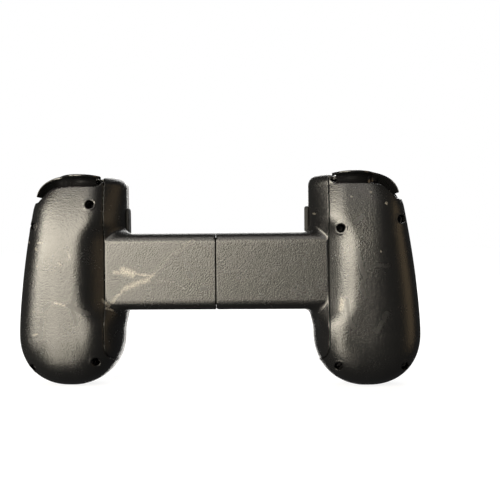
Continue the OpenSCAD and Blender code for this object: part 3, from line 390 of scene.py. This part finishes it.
def skin(form, low, high, size):
    """Points, quads and normals of the surface where form is 0 in a box, on a grid of this cell size."""
    axes = [np.arange(a, b + size, size) for a, b in zip(low, high)]
    grid = np.stack(np.meshgrid(*axes, indexing="ij"), -1)
    value = form(grid[..., 0], grid[..., 1], grid[..., 2])
    cells = [n - 1 for n in value.shape]
    total, count, edges = np.zeros(cells + [3]), np.zeros(cells), []
    for axis in range(3):
        first = [slice(None)] * 3
        second = [slice(None)] * 3
        first[axis], second[axis] = slice(0, -1), slice(1, None)
        a, b = value[tuple(first)], value[tuple(second)]
        crossed = (a < 0) != (b < 0)
        share = np.where(crossed, a / np.where(crossed, a - b, 1), 0)
        point = grid[tuple(first)].copy()
        point[..., axis] += share * size
        others = [n for n in range(3) if n != axis]
        for i in (0, 1):
            for j in (0, 1):
                part = [slice(None)] * 3
                part[others[0]] = slice(i, i + cells[others[0]])
                part[others[1]] = slice(j, j + cells[others[1]])
                total += np.where(crossed[tuple(part)][..., None], point[tuple(part)], 0)
                count += crossed[tuple(part)]
        edges.append((axis, others, crossed, a < 0))
    live = count > 0
    number = np.full(cells, -1)
    number[live] = np.arange(live.sum())
    points = total[live] / count[live][:, None]
    quads = []
    for axis, others, crossed, inside in edges:
        where = np.argwhere(crossed)
        keep = (where[:, others[0]] > 0) & (where[:, others[1]] > 0)
        keep &= (where[:, others[0]] < cells[others[0]]) & (where[:, others[1]] < cells[others[1]])
        where = where[keep]
        around = []
        for i, j in ((-1, -1), (0, -1), (0, 0), (-1, 0)):
            cell = where.copy()
            cell[:, others[0]] += i
            cell[:, others[1]] += j
            around.append(number[tuple(cell.T)])
        quad = np.stack(around, 1)
        flip = inside[tuple(where.T)] == (axis == 1)
        quad[flip] = quad[flip][:, ::-1]
        quads.append(quad)
    reach = 0.02

    def slope(p):
        x, y, z = p.T
        return np.stack([form(x + reach, y, z) - form(x - reach, y, z),
                         form(x, y + reach, z) - form(x, y - reach, z),
                         form(x, y, z + reach) - form(x, y, z - reach)], 1) / (2 * reach)

    for _ in range(4):
        lean = slope(points)
        move = (form(*points.T) / np.maximum((lean ** 2).sum(1), 0.05))[:, None] * lean
        points = points - np.clip(move, -size / 2, size / 2)
    lean = slope(points)
    return points, np.concatenate(quads), lean / np.maximum(np.linalg.norm(lean, axis=1), 1e-6)[:, None]


def piece(name, shape, material, body, replaced, mirrored=False):
    """A shown piece from (points in millimetres, faces, normals or None), in place of the CAD node named."""
    points, faces, normals = shape
    flip = np.array([-1.0 if mirrored else 1.0, 1.0, 1.0])
    faces = [list(map(int, f)) for f in faces]
    mesh = bpy.data.meshes.new(name)
    mesh.from_pydata((points * flip * 0.001).tolist(), [], [f[::-1] for f in faces] if mirrored else faces)
    mesh.shade_smooth()
    if normals is None:
        mesh.set_sharp_from_angle(angle=math.radians(42))
    else:
        mesh.normals_split_custom_set_from_vertices((normals * flip).tolist())
    mesh.materials.append(material)
    made = bpy.data.objects.new(name, mesh)
    scene.collection.objects.link(made)
    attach(made, body)
    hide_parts(replaced)
    return made


def stroke(place, line, width, soft):
    """Mask along a line of (x, z) points in millimetres, 1 within the width and 0 past the soft edge."""
    flat = place.vector("MULTIPLY", place, (1, 0, 1))
    near = None
    for (x0, z0), (x1, z1) in zip(line, line[1:]):
        span = (x1 - x0) ** 2 + (z1 - z0) ** 2
        away = place.vector("SUBTRACT", flat, (x0, 0, z0))
        share = place.vector("DOT_PRODUCT", away, (x1 - x0, 0, z1 - z0), output=1) / span
        share = share.node("Clamp", {}, {0: share})
        foot = place.node("VectorMath", {"operation": "SCALE"}, {0: (x1 - x0, 0, z1 - z0), "Scale": share})
        off = place.vector("DISTANCE", away, foot, output=1)
        near = off if near is None else near.math("MINIMUM", near, off)
    return step(near, width + soft, width)


def satin(name, pale=(), dark=()):
    """Satin black moulded plastic with its grain, pale scuffs and dark rubs, each (line, width, weight)."""
    def recipe(place):
        grain = noise(place, 1.4, 3.0, 0.6)
        cloud = noise(place, 0.12, 3.0)
        worn_tops = step(noise(place, 1.6, 4.0, 0.7), 0.32, 0.66)
        shake = place.node("TexNoise", {}, {"Vector": place, "Scale": 0.7, "Detail": 5.0}, 1)
        shake = shake.vector("SUBTRACT", shake, (0.5, 0.5, 0.5))
        ragged = shake.vector("MULTIPLY_ADD", shake, (1.8, 0, 1.8), place)
        scuff = cloud * 0.0
        for line, width, weight in pale:
            mark = stroke(ragged, line, width * 0.1, width * 1.5 + 0.35) * weight
            scuff = scuff.math("MAXIMUM", scuff, mark)
        rub = cloud * 0.0
        for line, width, weight in dark:
            mark = stroke(ragged, line, width * 0.2, width * 1.2 + 0.7) * weight
            rub = rub.math("MAXIMUM", rub, mark)
        scuff = scuff * (worn_tops * 0.8)
        rub = rub * (1.1 - worn_tops)
        black = mixed(cloud, (0.004, 0.004, 0.0041, 1), (0.007, 0.007, 0.0071, 1))
        worn = mixed(scuff, black, (0.50, 0.46, 0.39, 1))
        return {"Base Color": mixed(rub, worn, (0.003, 0.003, 0.003, 1)),
                "Roughness": 0.2 + cloud * 0.07 + scuff * 0.3 + rub * 0.35 + grain * 0.05,
                "Normal": relief(grain, 1.0, 0.14)}

    return finish(name, {"Specular IOR Level": 1.0}, recipe)


right_scuffs = [
    ([(-44.4, 3.8), (-40.5, 3.4)], 0.5, 0.7), ([(-40, 4.4), (-36.4, 3.2)], 1.6, 0.95),
    ([(-35, 3.1), (-27.5, 2.2)], 0.3, 0.8), ([(-45.4, -9), (-39.5, -3.3)], 0.5, 0.6),
    ([(-39.5, -3.3), (-34, -0.8), (-29.5, 0.4)], 1.0, 0.75), ([(-29.5, 0.4), (-26.4, 3.4)], 0.4, 0.6),
    ([(-26.4, 3.4), (-20.7, 9.9), (-10, 17.5)], 0.12, 0.3),
    ([(-26.6, 0.2), (-18.4, -0.4), (-13.3, -3.6)], 0.12, 0.18),
    ([(-49, -8.2), (-46.5, -10.7)], 0.3, 0.7), ([(-47.5, -11.7), (-45.5, -12.7)], 0.25, 0.6),
    ([(-76.3, 16.8), (-73.7, 17.1)], 0.25, 0.7), ([(-77.2, 14.4), (-76.6, 13.6)], 0.25, 0.7),
    ([(-81.6, 17.5), (-81.2, 17)], 0.2, 0.6), ([(-76.8, 7), (-76.4, 6.4)], 0.2, 0.7),
    ([(-66.9, 8.3), (-65.3, 7)], 0.2, 0.5), ([(-63, 13.2), (-62.1, 9.9)], 0.15, 0.4),
    ([(-69, -8.7), (-64.7, -9.9)], 0.3, 0.75), ([(-78.4, -12.7), (-77.8, -13)], 0.2, 0.6),
    ([(-79, -22.6), (-77, -22.4)], 0.25, 0.7)]
right_rubs = [
    ([(-59, -2.1), (-60.4, -6.2), (-61.2, -10.2)], 0.3, 0.8),
    ([(-62.7, -9.9), (-58, -12.6), (-54.6, -13.4)], 0.5, 0.8),
    ([(-61.2, -12.1), (-60, -15.2), (-59.6, -17.8)], 0.3, 0.7), ([(-74.7, -16.5), (-75.9, -24.1)], 0.35, 0.7),
    ([(-73.4, -11.5), (-71.5, -9.3)], 0.4, 0.6), ([(-80.6, -25.1), (-79.4, -26)], 0.3, 0.6),
    ([(-11.6, 3), (-10.6, 2)], 0.25, 0.9), ([(-6, -3.4), (-4.6, -3.2)], 0.25, 0.8),
    ([(-21, -8.6), (-19.6, -8.8)], 0.25, 0.8)]
left_scuffs = [
    ([(53.6, -8.2), (53, -12.2)], 0.8, 0.7), ([(72.2, 32.3), (72.6, 31.9)], 0.2, 0.8),
    ([(65.6, 36.8), (66, 36.8)], 0.15, 0.5), ([(57.7, 35.1), (58.1, 34.9)], 0.15, 0.5),
    ([(54.4, 12), (54.7, 11.6)], 0.2, 0.5), ([(69.4, 12.2), (69.7, 11.8)], 0.15, 0.4),
    ([(42.2, 28.4), (42.6, 28.2)], 0.15, 0.5)]
left_rubs = [
    ([(59, 24.6), (62, 26.5)], 0.15, 0.9),
    ([(59.7, 12.2), (62.9, 1.5), (61.6, -2.9), (63.2, -7.3)], 0.5, 0.5),
    ([(55.6, -8.5), (56.2, -16.8), (58.1, -19.3)], 0.4, 0.8), ([(68.4, 6.1), (72.7, 6)], 0.5, 0.4),
    ([(72.1, -14), (70, -18.2), (67.7, -21.6)], 0.5, 0.5), ([(43.8, -17.8), (43.6, -20.2)], 0.4, 0.6)]
satin_plain = satin("satin_plastic")
satin_right = satin("satin_plastic_right", right_scuffs, right_rubs)
satin_left = satin("satin_plastic_left", left_scuffs, left_rubs)
frame_shape = skin(bridge_frame, (-0.5, -17.5, -36.7), (51, 1.6, 46), mesh_step)
piece("left_bridge_half", frame_shape, satin_left, "left_half", "left_bridge_frame")
piece("right_bridge_half", frame_shape, satin_right, "right_half", "right_bridge_frame",
      mirrored=True)


# Bridge cover plates and phone pads: flat satin plates let into the sleeves, and moulded rubber pads glued on
# the grips' inner sides, the right one with the opening for the plug.
def soften(width, *names):
    for name in names:
        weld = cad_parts[name].modifiers.new("joined", "WELD")
        weld.merge_threshold = 1e-6
        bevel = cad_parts[name].modifiers.new("broken_edges", "BEVEL")
        bevel.width = width * 0.001
        bevel.segments = 2
        bevel.limit_method = "ANGLE"
        bevel.angle_limit = math.radians(50)
        bevel.harden_normals = True


def rubber_recipe(place):
    dust = noise(place, 3.5, 4.0, 0.6)
    cloud = noise(place, 0.3, 2.0)
    return {"Base Color": mixed(cloud, (0.016, 0.016, 0.0165, 1), (0.026, 0.026, 0.0265, 1)),
            "Roughness": dust * 0.2 + 0.62, "Normal": relief(dust, 0.4, 0.04)}


plug_level = 10.5


def plug_slot(y, z, length=11.2, width=4.6):
    """Distance to the phone plug's opening, a round-ended slot along Z in the plane of Y and Z."""
    along = np.maximum(np.abs(z - plug_level) - (length - width) / 2, 0)
    return np.hypot(along, y - 3.6) - width / 2


def pad_form(x, y, z, face=38.3, corner=2.4):
    outline = rounded(np.abs(z - plug_level) - 21.3 + corner, np.abs(y - 3.4) - 3.8 + corner, corner)
    return smooth_max(smooth_max(outline, face - x, 0.9), x - 40, 0.2)


def plug_pad_form(x, y, z):
    return smooth_max(pad_form(x, y, z, 39.0), -plug_slot(y, z), 0.4)


pad_rubber = finish("pad_rubber", {"Specular IOR Level": 0.35}, rubber_recipe)
dress(satin_plain, "right_bridge_cover", "left_bridge_cover")
soften(0.3, "right_bridge_cover", "left_bridge_cover")
soften(0.3, "bridge_slider")
soften(0.12, "slider_cover")
for name, form, hand in (("left_pad", pad_form, "left"), ("right_pad", plug_pad_form, "right")):
    shape = skin(form, (38, -0.8, -11.2), (40.3, 7.6, 32.2), 0.4)
    piece(name, shape, pad_rubber, f"{hand}_half", f"{hand}_phone_pad", hand == "right")


# Front shells: the player's side of each grip, satin black like the back, with round-edged openings for the
# stick, buttons, bumper and plug; the boards hang on their inside.
stick_at = {"left": (66, 15.8), "right": (63, -14.2)}
cross_at = (63, -14.2)
upper_key, lower_key = (47.8, 34.4), (50.4, -28.2)
face_keys = {name: (64.5 + 8.2 * math.cos(a), 15.8 + 8.2 * math.sin(a)) for name, a in zip(
    ("outer", "top", "inner", "bottom"), np.radians((0, 90, 180, 270)))}
shoulder_x, shoulder_z = 59, 33.8


def outline_form(x, y, z):
    level = np.maximum(z, widest)
    inner, outer = inner_edge(level), outer_edge(level)
    half = np.maximum((outer - inner) / 2, 0.5)
    share = (np.abs(x - (inner + outer) / 2) / half) ** 2.2 + (np.maximum(widest - z, 0) / grip_half) ** 2.2
    side = (share ** (1 / 2.2) - 1) * half
    return smooth_max(side, z - casing_top, 0.6) + 0 * y


def round_hole(x, z, at, radius):
    return np.hypot(x - at[0], z - at[1]) - radius


def oval_form(x, y, z, wide, tall):
    share = (np.abs(x - shoulder_x) / wide) ** 2.5 + (np.maximum(z - shoulder_z, 0) / tall) ** 2.5
    return (share ** 0.4 - 1) * tall + 0 * y


def cross_form(x, z, span, arm, radius):
    across, up = np.abs(x - cross_at[0]), np.abs(z - cross_at[1])
    long, thin = span / 2 - radius, arm / 2 - radius
    level = rounded(across - long, up - thin, radius)
    upright = rounded(up - long, across - thin, radius)
    return smooth_min(level, upright, 0.6)


def front_shell(hand):
    holes = [(stick_at[hand], 9.3), (upper_key, 3.0), (lower_key, 3.0)]
    if hand == "right":
        holes += [(at, 4.8) for at in face_keys.values()]

    def form(x, y, z):
        body = rounded(true_distance(outline_form, x, y, z) + 2.5, y - 7.5, 2.5)
        shell = smooth_max(smooth_max(body, -(body + wall), 0.3), parting - y, 0.3)
        for at, radius in holes:
            shell = smooth_max(shell, -np.maximum(round_hole(x, z, at, radius), 6.5 - y), 0.7)
        oval = true_distance(lambda a, b, c: oval_form(a, b, c, 16.0, 7.4), x, y, z)
        window = np.maximum(np.maximum(50.3 - x, 34.8 - z), np.maximum(-oval, y - 7.4))
        shell = smooth_max(shell, -window, 0.4)
        if hand == "right":
            shell = smooth_max(shell, -np.maximum(plug_slot(y, z), x - 44), 0.4)
            port = np.hypot(np.maximum(np.abs(x - 65) - 2.85, 0), y - 4.9) - 1.85
        else:
            shell = smooth_max(shell, -np.maximum(cross_form(x, z, 21.6, 8.4, 0.9), 6.5 - y), 0.7)
            port = np.hypot(x - 65, y - 4.9) - 3.1
        return smooth_max(shell, -np.maximum(port, z + 39.2), 0.4)

    return form


for hand in ("left", "right"):
    shape = skin(front_shell(hand), (39.2, 0.4, -47), (89, 10.8, 46), mesh_step)
    piece(f"{hand}_front_case", shape, satin_plain, f"{hand}_half", f"{hand}_front_shell",
          hand == "right")


# Thumbsticks: a rubber cap moulded over each shaft, with a dished top, a knurled rim and a domed skirt that
# keeps the hole in the front shell closed as the stick tilts.
def loops(rings, closed=False):
    """Points and faces of a tube through rings of points, its ends closed by fans unless it joins up."""
    rings = np.asarray(rings, float)
    n, m = rings.shape[:2]
    points = rings.reshape(-1, 3)
    faces = [(i * m + k, i * m + (k + 1) % m, ((i + 1) % n) * m + (k + 1) % m, ((i + 1) % n) * m + k)
             for i in range(n if closed else n - 1) for k in range(m)]
    if not closed:
        faces += [(n * m, (k + 1) % m, k) for k in range(m)]
        faces += [(n * m + 1, (n - 1) * m + k, (n - 1) * m + (k + 1) % m) for k in range(m)]
        points = np.concatenate([points, rings[:1].mean(1), rings[-1:].mean(1)])
    return points, faces, None


def joined(*shapes):
    points, faces, start = [], [], 0
    for p, f, _ in shapes:
        points.append(p)
        faces += [tuple(k + start for k in face) for face in f]
        start += len(p)
    return np.concatenate(points), faces, None


def turned(profile, at, sides=72, knurl=None):
    """A turned piece about Y at (x, z): its profile of (radius, y) runs from its lower end to its upper."""
    angle = np.linspace(0, 2 * math.pi, sides, endpoint=False)
    rings = []
    for radius, y in profile:
        around = np.full(sides, max(radius, 0.02))
        if knurl:
            around = around + knurl(radius, y, angle)
        x, z = at[0] + around * np.cos(angle), at[1] - around * np.sin(angle)
        rings.append(np.stack([x, np.full(sides, y), z], 1))
    return loops(rings)


def arc(centre, radius, start, end, count):
    return [(centre[0] + radius * math.cos(t), centre[1] + radius * math.sin(t))
            for t in np.radians(np.linspace(start, end, count))]


def rim_knurl(radius, y, angle):
    share = ease((radius - 5.6) / 0.9) * ease((y - 14.2) / 0.4)
    return 0.11 * share * np.sign(np.sin(48 * angle)) * np.abs(np.sin(48 * angle)) ** 0.6


def dome_arc(radius, start, end, count, pivot_y=3):
    return [(radius * math.sin(t), pivot_y + radius * math.cos(t))
            for t in np.radians(np.linspace(start, end, count))]


under = [(1.66, 11.95)] + dome_arc(9.1, 16, 81, 12)
over = dome_arc(10, 82, 21, 14)
neck = [(3.45, 12.7), (3.4, 13.4), (4.4, 13.8), (6.6, 14.0)]
rim = arc((7.3, 14.5), 0.5, -80, 0, 4) + arc((6.9, 16.1), 0.9, 0, 110, 9)
dish = [(6.2 * math.cos(t), 16.85 - 0.85 * math.sin(t) ** 0.8) for t in np.radians(np.linspace(4, 89, 12))]
cap_profile = [(0.0, 15.3), (1.66, 15.3)] + under + over + neck + rim + dish
for hand, at in stick_at.items():
    cap = turned(cap_profile, at, 288, rim_knurl)
    piece(f"{hand}_thumbstick", cap, pad_rubber, f"{hand}_stick", f"{hand}_stick_cap",
          hand == "right")


# Buttons and direction pad: moulded keycaps in the front shell's satin black, each with a flange that keeps
# it in its hole; the pad is a dished cross with softened edges that rocks on its ball.
def keycap(at, radius, top, swell, stem):
    side = [(radius / 2, stem), (radius / 2, 6.2), (radius + 0.8, 6.2), (radius + 0.8, 7.7), (radius, 7.7)]
    edge = arc((radius - 0.55, top - swell - 0.55), 0.55, 0, 78, 6)
    dome = [(radius * s, top - swell * (s / 0.9) ** 2) for s in (0.78, 0.62, 0.45, 0.3, 0.15, 0.0)]
    return turned([(0.0, stem)] + side + edge + dome, at)


def dpad_form(x, y, z):
    round_out = round_hole(x, z, cross_at, 0)
    cross = cross_form(x, z, 20.4, 7.2, 0.8)
    body = smooth_max(smooth_max(cross, y - 11.8, 1.2), 4.6 - y, 0.3)
    bowl = 26.0 - np.hypot(round_out, y - 37.1)
    body = smooth_max(body, bowl, 0.8)
    skirt = smooth_max(round_out - 8.8, np.abs(y - 5.3) - 0.7, 0.2)
    cup = smooth_max(round_out - 3.2, np.abs(y - 4.7) - 0.95, 0.2)
    ball = np.hypot(round_out, y - 4.2) - 1.98
    return smooth_max(np.minimum(np.minimum(body, skirt), cup), -ball, 0.1)


for name, at in face_keys.items():
    cap = keycap(at, 4.4, 12.0, 0.3, 5.2)
    piece(f"{name}_keycap", cap, satin_plain, f"face_button_{name}", f"face_button_{name}",
          mirrored=True)
for name, at, hand in (("menu", upper_key, "right"), ("home", lower_key, "right"),
                       ("options", upper_key, "left"), ("capture", lower_key, "left")):
    cap = keycap(at, 2.6, 10.8, 0.15, 3.2)
    piece(f"{name}_keycap", cap, satin_plain, f"{name}_button", f"{name}_button",
          hand == "right")
cross_shape = skin(dpad_form, (52.2, 3.4, -25), (73.8, 12.4, -3.4), 0.45)
piece("direction_cross", cross_shape, satin_plain, "dpad", "dpad")


# Bumpers: curved bars moulded in the front shell's satin black, let into the window in its shoulder, each
# with a boss that turns on a steel pin in the shoulder bracket.
def oval_at(wide, tall, angle):
    c, s = np.cos(np.radians(angle)), np.sin(np.radians(angle))
    return shoulder_x + wide * np.sign(c) * np.abs(c) ** 0.8, shoulder_z + tall * np.maximum(0, s) ** 0.8


def ended(rings, rounding):
    """The rings with a softened end at each side: three more, drawn in towards their middle."""
    def end(first, second):
        middle = first.mean(0)
        ahead = first.mean(0) - second.mean(0)
        ahead = ahead / np.linalg.norm(ahead)
        size = np.linalg.norm(first - middle, axis=1).mean()
        drawn = []
        for t in np.radians((30, 60, 90)):
            share = 1 - rounding * (1 - math.cos(t)) / size
            drawn.append(middle + (first - middle) * share + ahead * rounding * math.sin(t))
        return drawn

    rings = list(rings)
    return np.array(end(rings[0], rings[1])[::-1] + rings + end(rings[-1], rings[-2]))


def bar_section(thick, low, high, radius):
    corners = [((radius, low + radius), 180), ((thick - radius, low + radius), 270),
               ((thick - radius, high - radius), 0), ((radius, high - radius), 90)]
    return [p for centre, start in corners for p in arc(centre, radius, start, start + 90, 5)]


rings = []
for angle in np.linspace(104.6, 14.6, 60):
    across = [(oval_at(20.2 - s, 11.6 - s, angle), y) for s, y in bar_section(2.6, 0.8, 7.0, 0.7)]
    rings.append([(x, y, z) for (x, z), y in across])
boss_angle = np.linspace(0, 2 * math.pi, 40, endpoint=False)
boss = loops([[(52.6 + r * math.cos(a), y, 39 + r * math.sin(a)) for r, y in
               ((0.86, 0.9), (1.6, 0.9), (1.6, 6.8), (0.86, 6.8))] for a in boss_angle], closed=True)
bumper_shape = joined(loops(ended(np.array(rings), 0.5)), boss)
for hand in ("left", "right"):
    piece(f"{hand}_bumper_bar", bumper_shape, satin_plain, f"{hand}_bumper",
          f"{hand}_bumper", hand == "right")


# Triggers: polished black mouldings, each a hollow band swept round the shoulder with a flared lip that the
# finger hooks under, on two levers that turn on a steel pin.
def gloss_recipe(place):
    haze = noise(place, 0.25, 3.0)
    swirl = noise(place, 1.6, 5.0, 0.65)
    dust = step(noise(place, 1.2, 5.0, 0.75), 0.62, 0.7)
    return {"Base Color": mixed(dust, (0.008, 0.008, 0.0085, 1), (0.03, 0.029, 0.027, 1)),
            "Roughness": haze * 0.1 + 0.05 + dust * 0.15, "Normal": relief(swirl, 0.05, 0.02)}


def cover_line(x):
    """Depth of the rear cover's inside below the trigger, which the trigger's depth follows."""
    inner, outer = inner_edge(np.array(43.0)) + 6.5, outer_edge(np.array(43.0)) - 2
    off = np.clip(np.abs(2 * x - inner - outer) / (outer - inner), 0, 1)
    return parting - 11.3 * (1 - off ** 2.2) ** (1 / 2.2)


def trigger_depth(x, least):
    return np.maximum(least, (-0.2 - cover_line(x) - 0.95) / (-0.2 + 8.55))


trigger_oval = 19.5, 12.4
lip = [(0.5 - 0.5 * math.cos(t), -12.5 - 0.5 * math.sin(t)) for t in np.radians(np.linspace(0, 180, 11))]
flare = math.radians(75)
band = [(1.0 + 4.6 * (1 - math.cos(t)) / (1 - math.cos(flare)),
         -12.5 + 3.95 * math.sin(t) / math.sin(flare)) for t in np.linspace(0.06, flare * 0.97, 22)]
hollow = arc((5.25, -8.2), 0.35, -70, 0, 4) + arc((5.25, -7.3), 0.35, 0, 90, 4)
hollow += [(4.4, -6.95), (2.4, -5.35), (2.4, -0.2), (1.2, -0.2)] + arc((1.1, -0.5), 0.3, 90, 170, 4)
section = np.array(lip + band + hollow)


def swept(section, start, end, count):
    """The section carried round the shoulder between two angles, as deep as the rear cover is there."""
    rings = []
    for angle in np.linspace(start, end, count):
        x, z = oval_at(*trigger_oval, angle)
        ahead, behind = oval_at(*trigger_oval, angle - 0.5), oval_at(*trigger_oval, angle + 0.5)
        run = np.array([ahead[0] - behind[0], ahead[1] - behind[1]])
        out = np.array([-run[1], run[0]]) / np.linalg.norm(run)
        slim = 1 - 0.45 * ease((x - 68) / 11)
        deep = trigger_depth(x, 0.6)
        share = deep + (trigger_depth(x - 5.6 * slim * out[0], 0.3) - deep) * ease(section[:, 0] / 5.6)
        rings.append(np.stack([x - section[:, 0] * slim * out[0], -0.2 + (section[:, 1] + 0.2) * share,
                               z - section[:, 0] * slim * out[1]], 1))
    return rings


def lever(x):
    wide, tall = trigger_oval
    pin_y, pin_z = -2.5, 40.4
    top = shoulder_z + tall * (1 - (abs(x - shoulder_x) / wide) ** 2.5) ** 0.4 - 1.6
    outer = [(-0.5, top), (-4.5, top)] + [(pin_y - 2 * math.cos(t), pin_z - 2 * math.sin(t))
                                          for t in np.linspace(0, math.pi, 14)]
    inner = [(pin_y + 1.06 * math.sin(t), pin_z + 1.06 * math.cos(t))
             for t in np.linspace(0.2, -2 * math.pi + 0.2, 16)]
    return loops([[(x - 1, y, z) for y, z in outer], [(x - 1, y, z) for y, z in inner],
                  [(x + 1, y, z) for y, z in inner], [(x + 1, y, z) for y, z in outer]], closed=True)


polished = finish("polished_black", {"Coat Weight": 1.0, "Coat Roughness": 0.03}, gloss_recipe)
flange = np.array(lip + [(1.1, -12.2), (1.3, -11.5), (1.3, -9.6), (0.2, -9.6)])
trigger_shape = joined(loops(ended(swept(section, 107, 12, 110), 0.5)),
                       loops(ended(swept(flange, 113, 104, 14), 0.2)), lever(55.8), lever(63.6))
for hand in ("left", "right"):
    piece(f"{hand}_trigger_pull", trigger_shape, polished, f"{hand}_trigger",
          f"{hand}_trigger", hand == "right")


# Rear covers: the bulging satin shells that the photo shows, scuffed by use, each held by four screws deep
# in round wells.
left_wells = [(53.2, 21.9), (78.8, 25.5), (52.2, -36.6), (80.3, -36.9)]
right_wells = [(53.8, 33.2), (79.9, 24.1), (52.0, -34.6), (80.8, -37.6)]


def belly_form(x, y, z):
    deep = belly_depth(z)
    share = used_up(x, z) + (np.maximum(parting - y, 0) / deep) ** roll_power
    return (share ** (1 / roll_power) - 1) * np.minimum(belly_full, deep)


def cover_top(x):
    fall = np.maximum(0, 1 - (np.clip(x - shoulder_x, 0, 19) / 19) ** 2.5) ** 0.4
    return np.maximum(34.4, shoulder_z + 7.3 * fall - 2.2 * ease((x - 70) / 6))


def rear_cover(wells):
    def form(x, y, z):
        belly = true_distance(belly_form, x, y, z)
        belly = smooth_max(belly, -46.16 - z, 0.5)
        shell = smooth_max(belly, -(belly + wall - 1.0 * ease((z - 32) / 5)), 0.3)
        for at in wells:
            tube = round_hole(x, z, at, 2.5)
            shell = smooth_min(shell, smooth_max(tube, belly, 0.3), 0.4)
        for at in wells:
            shell = smooth_max(shell, -np.maximum(round_hole(x, z, at, 1.7), y + 2.0), 0.5)
        shell = smooth_max(shell, seam_gap - true_distance(seam_form, x, y, z), 0.3)
        lean = (cover_top(x + 0.1) - cover_top(x - 0.1)) / 0.2
        opening = rounded(3.4 - (z - cover_top(x)) / np.sqrt(1 + lean * lean), 52.2 - x, 3.4)
        shell = smooth_max(smooth_max(shell, -opening, 0.5), z - 44.5, 0.4)
        shell = smooth_max(shell, -np.maximum(channel(y, z), x - 71), 0.2)
        return smooth_max(shell, y - cover_end, 0.3)

    return form


def screw_form(x, y, z):
    out = np.hypot(x, z)
    head = smooth_max(out - 1.45, np.abs(y + 2.6) - 0.6, 0.3)
    shank = np.maximum(out - 0.8 - 0.08 * np.abs(np.mod(y * 2.5, 2) - 1), np.abs(y - 1.2) - 3.7)
    recess = np.maximum(np.minimum(np.maximum(np.abs(x) - 0.24, np.abs(z) - 0.9),
                                   np.maximum(np.abs(z) - 0.24, np.abs(x) - 0.9)), y + 2.55)
    return smooth_max(np.minimum(head, shank), -recess, 0.12)


screw_points, screw_faces, screw_normals = skin(screw_form, (-1.7, -3.5, -1.7), (1.7, 5.2, 1.7), 0.17)
for hand, wells, plastic in (("left", left_wells, satin_left), ("right", right_wells, satin_right)):
    shape = skin(rear_cover(wells), (41.2, -17.6, -46.8), (89, 1.6, 45.2), mesh_step)
    piece(f"{hand}_rear_cover", shape, plastic, f"{hand}_half", f"{hand}_grip_back",
          hand == "right")
    copies = [screw_points + np.array([x, 0, z]) for x, z in wells]
    faces = np.concatenate([screw_faces + k * len(screw_points) for k in range(len(wells))])
    set_of_four = np.concatenate(copies), faces, np.concatenate([screw_normals] * len(wells))
    piece(f"{hand}_case_screws", set_of_four, dark_steel, f"{hand}_half", f"{hand}_screws",
          hand == "right")
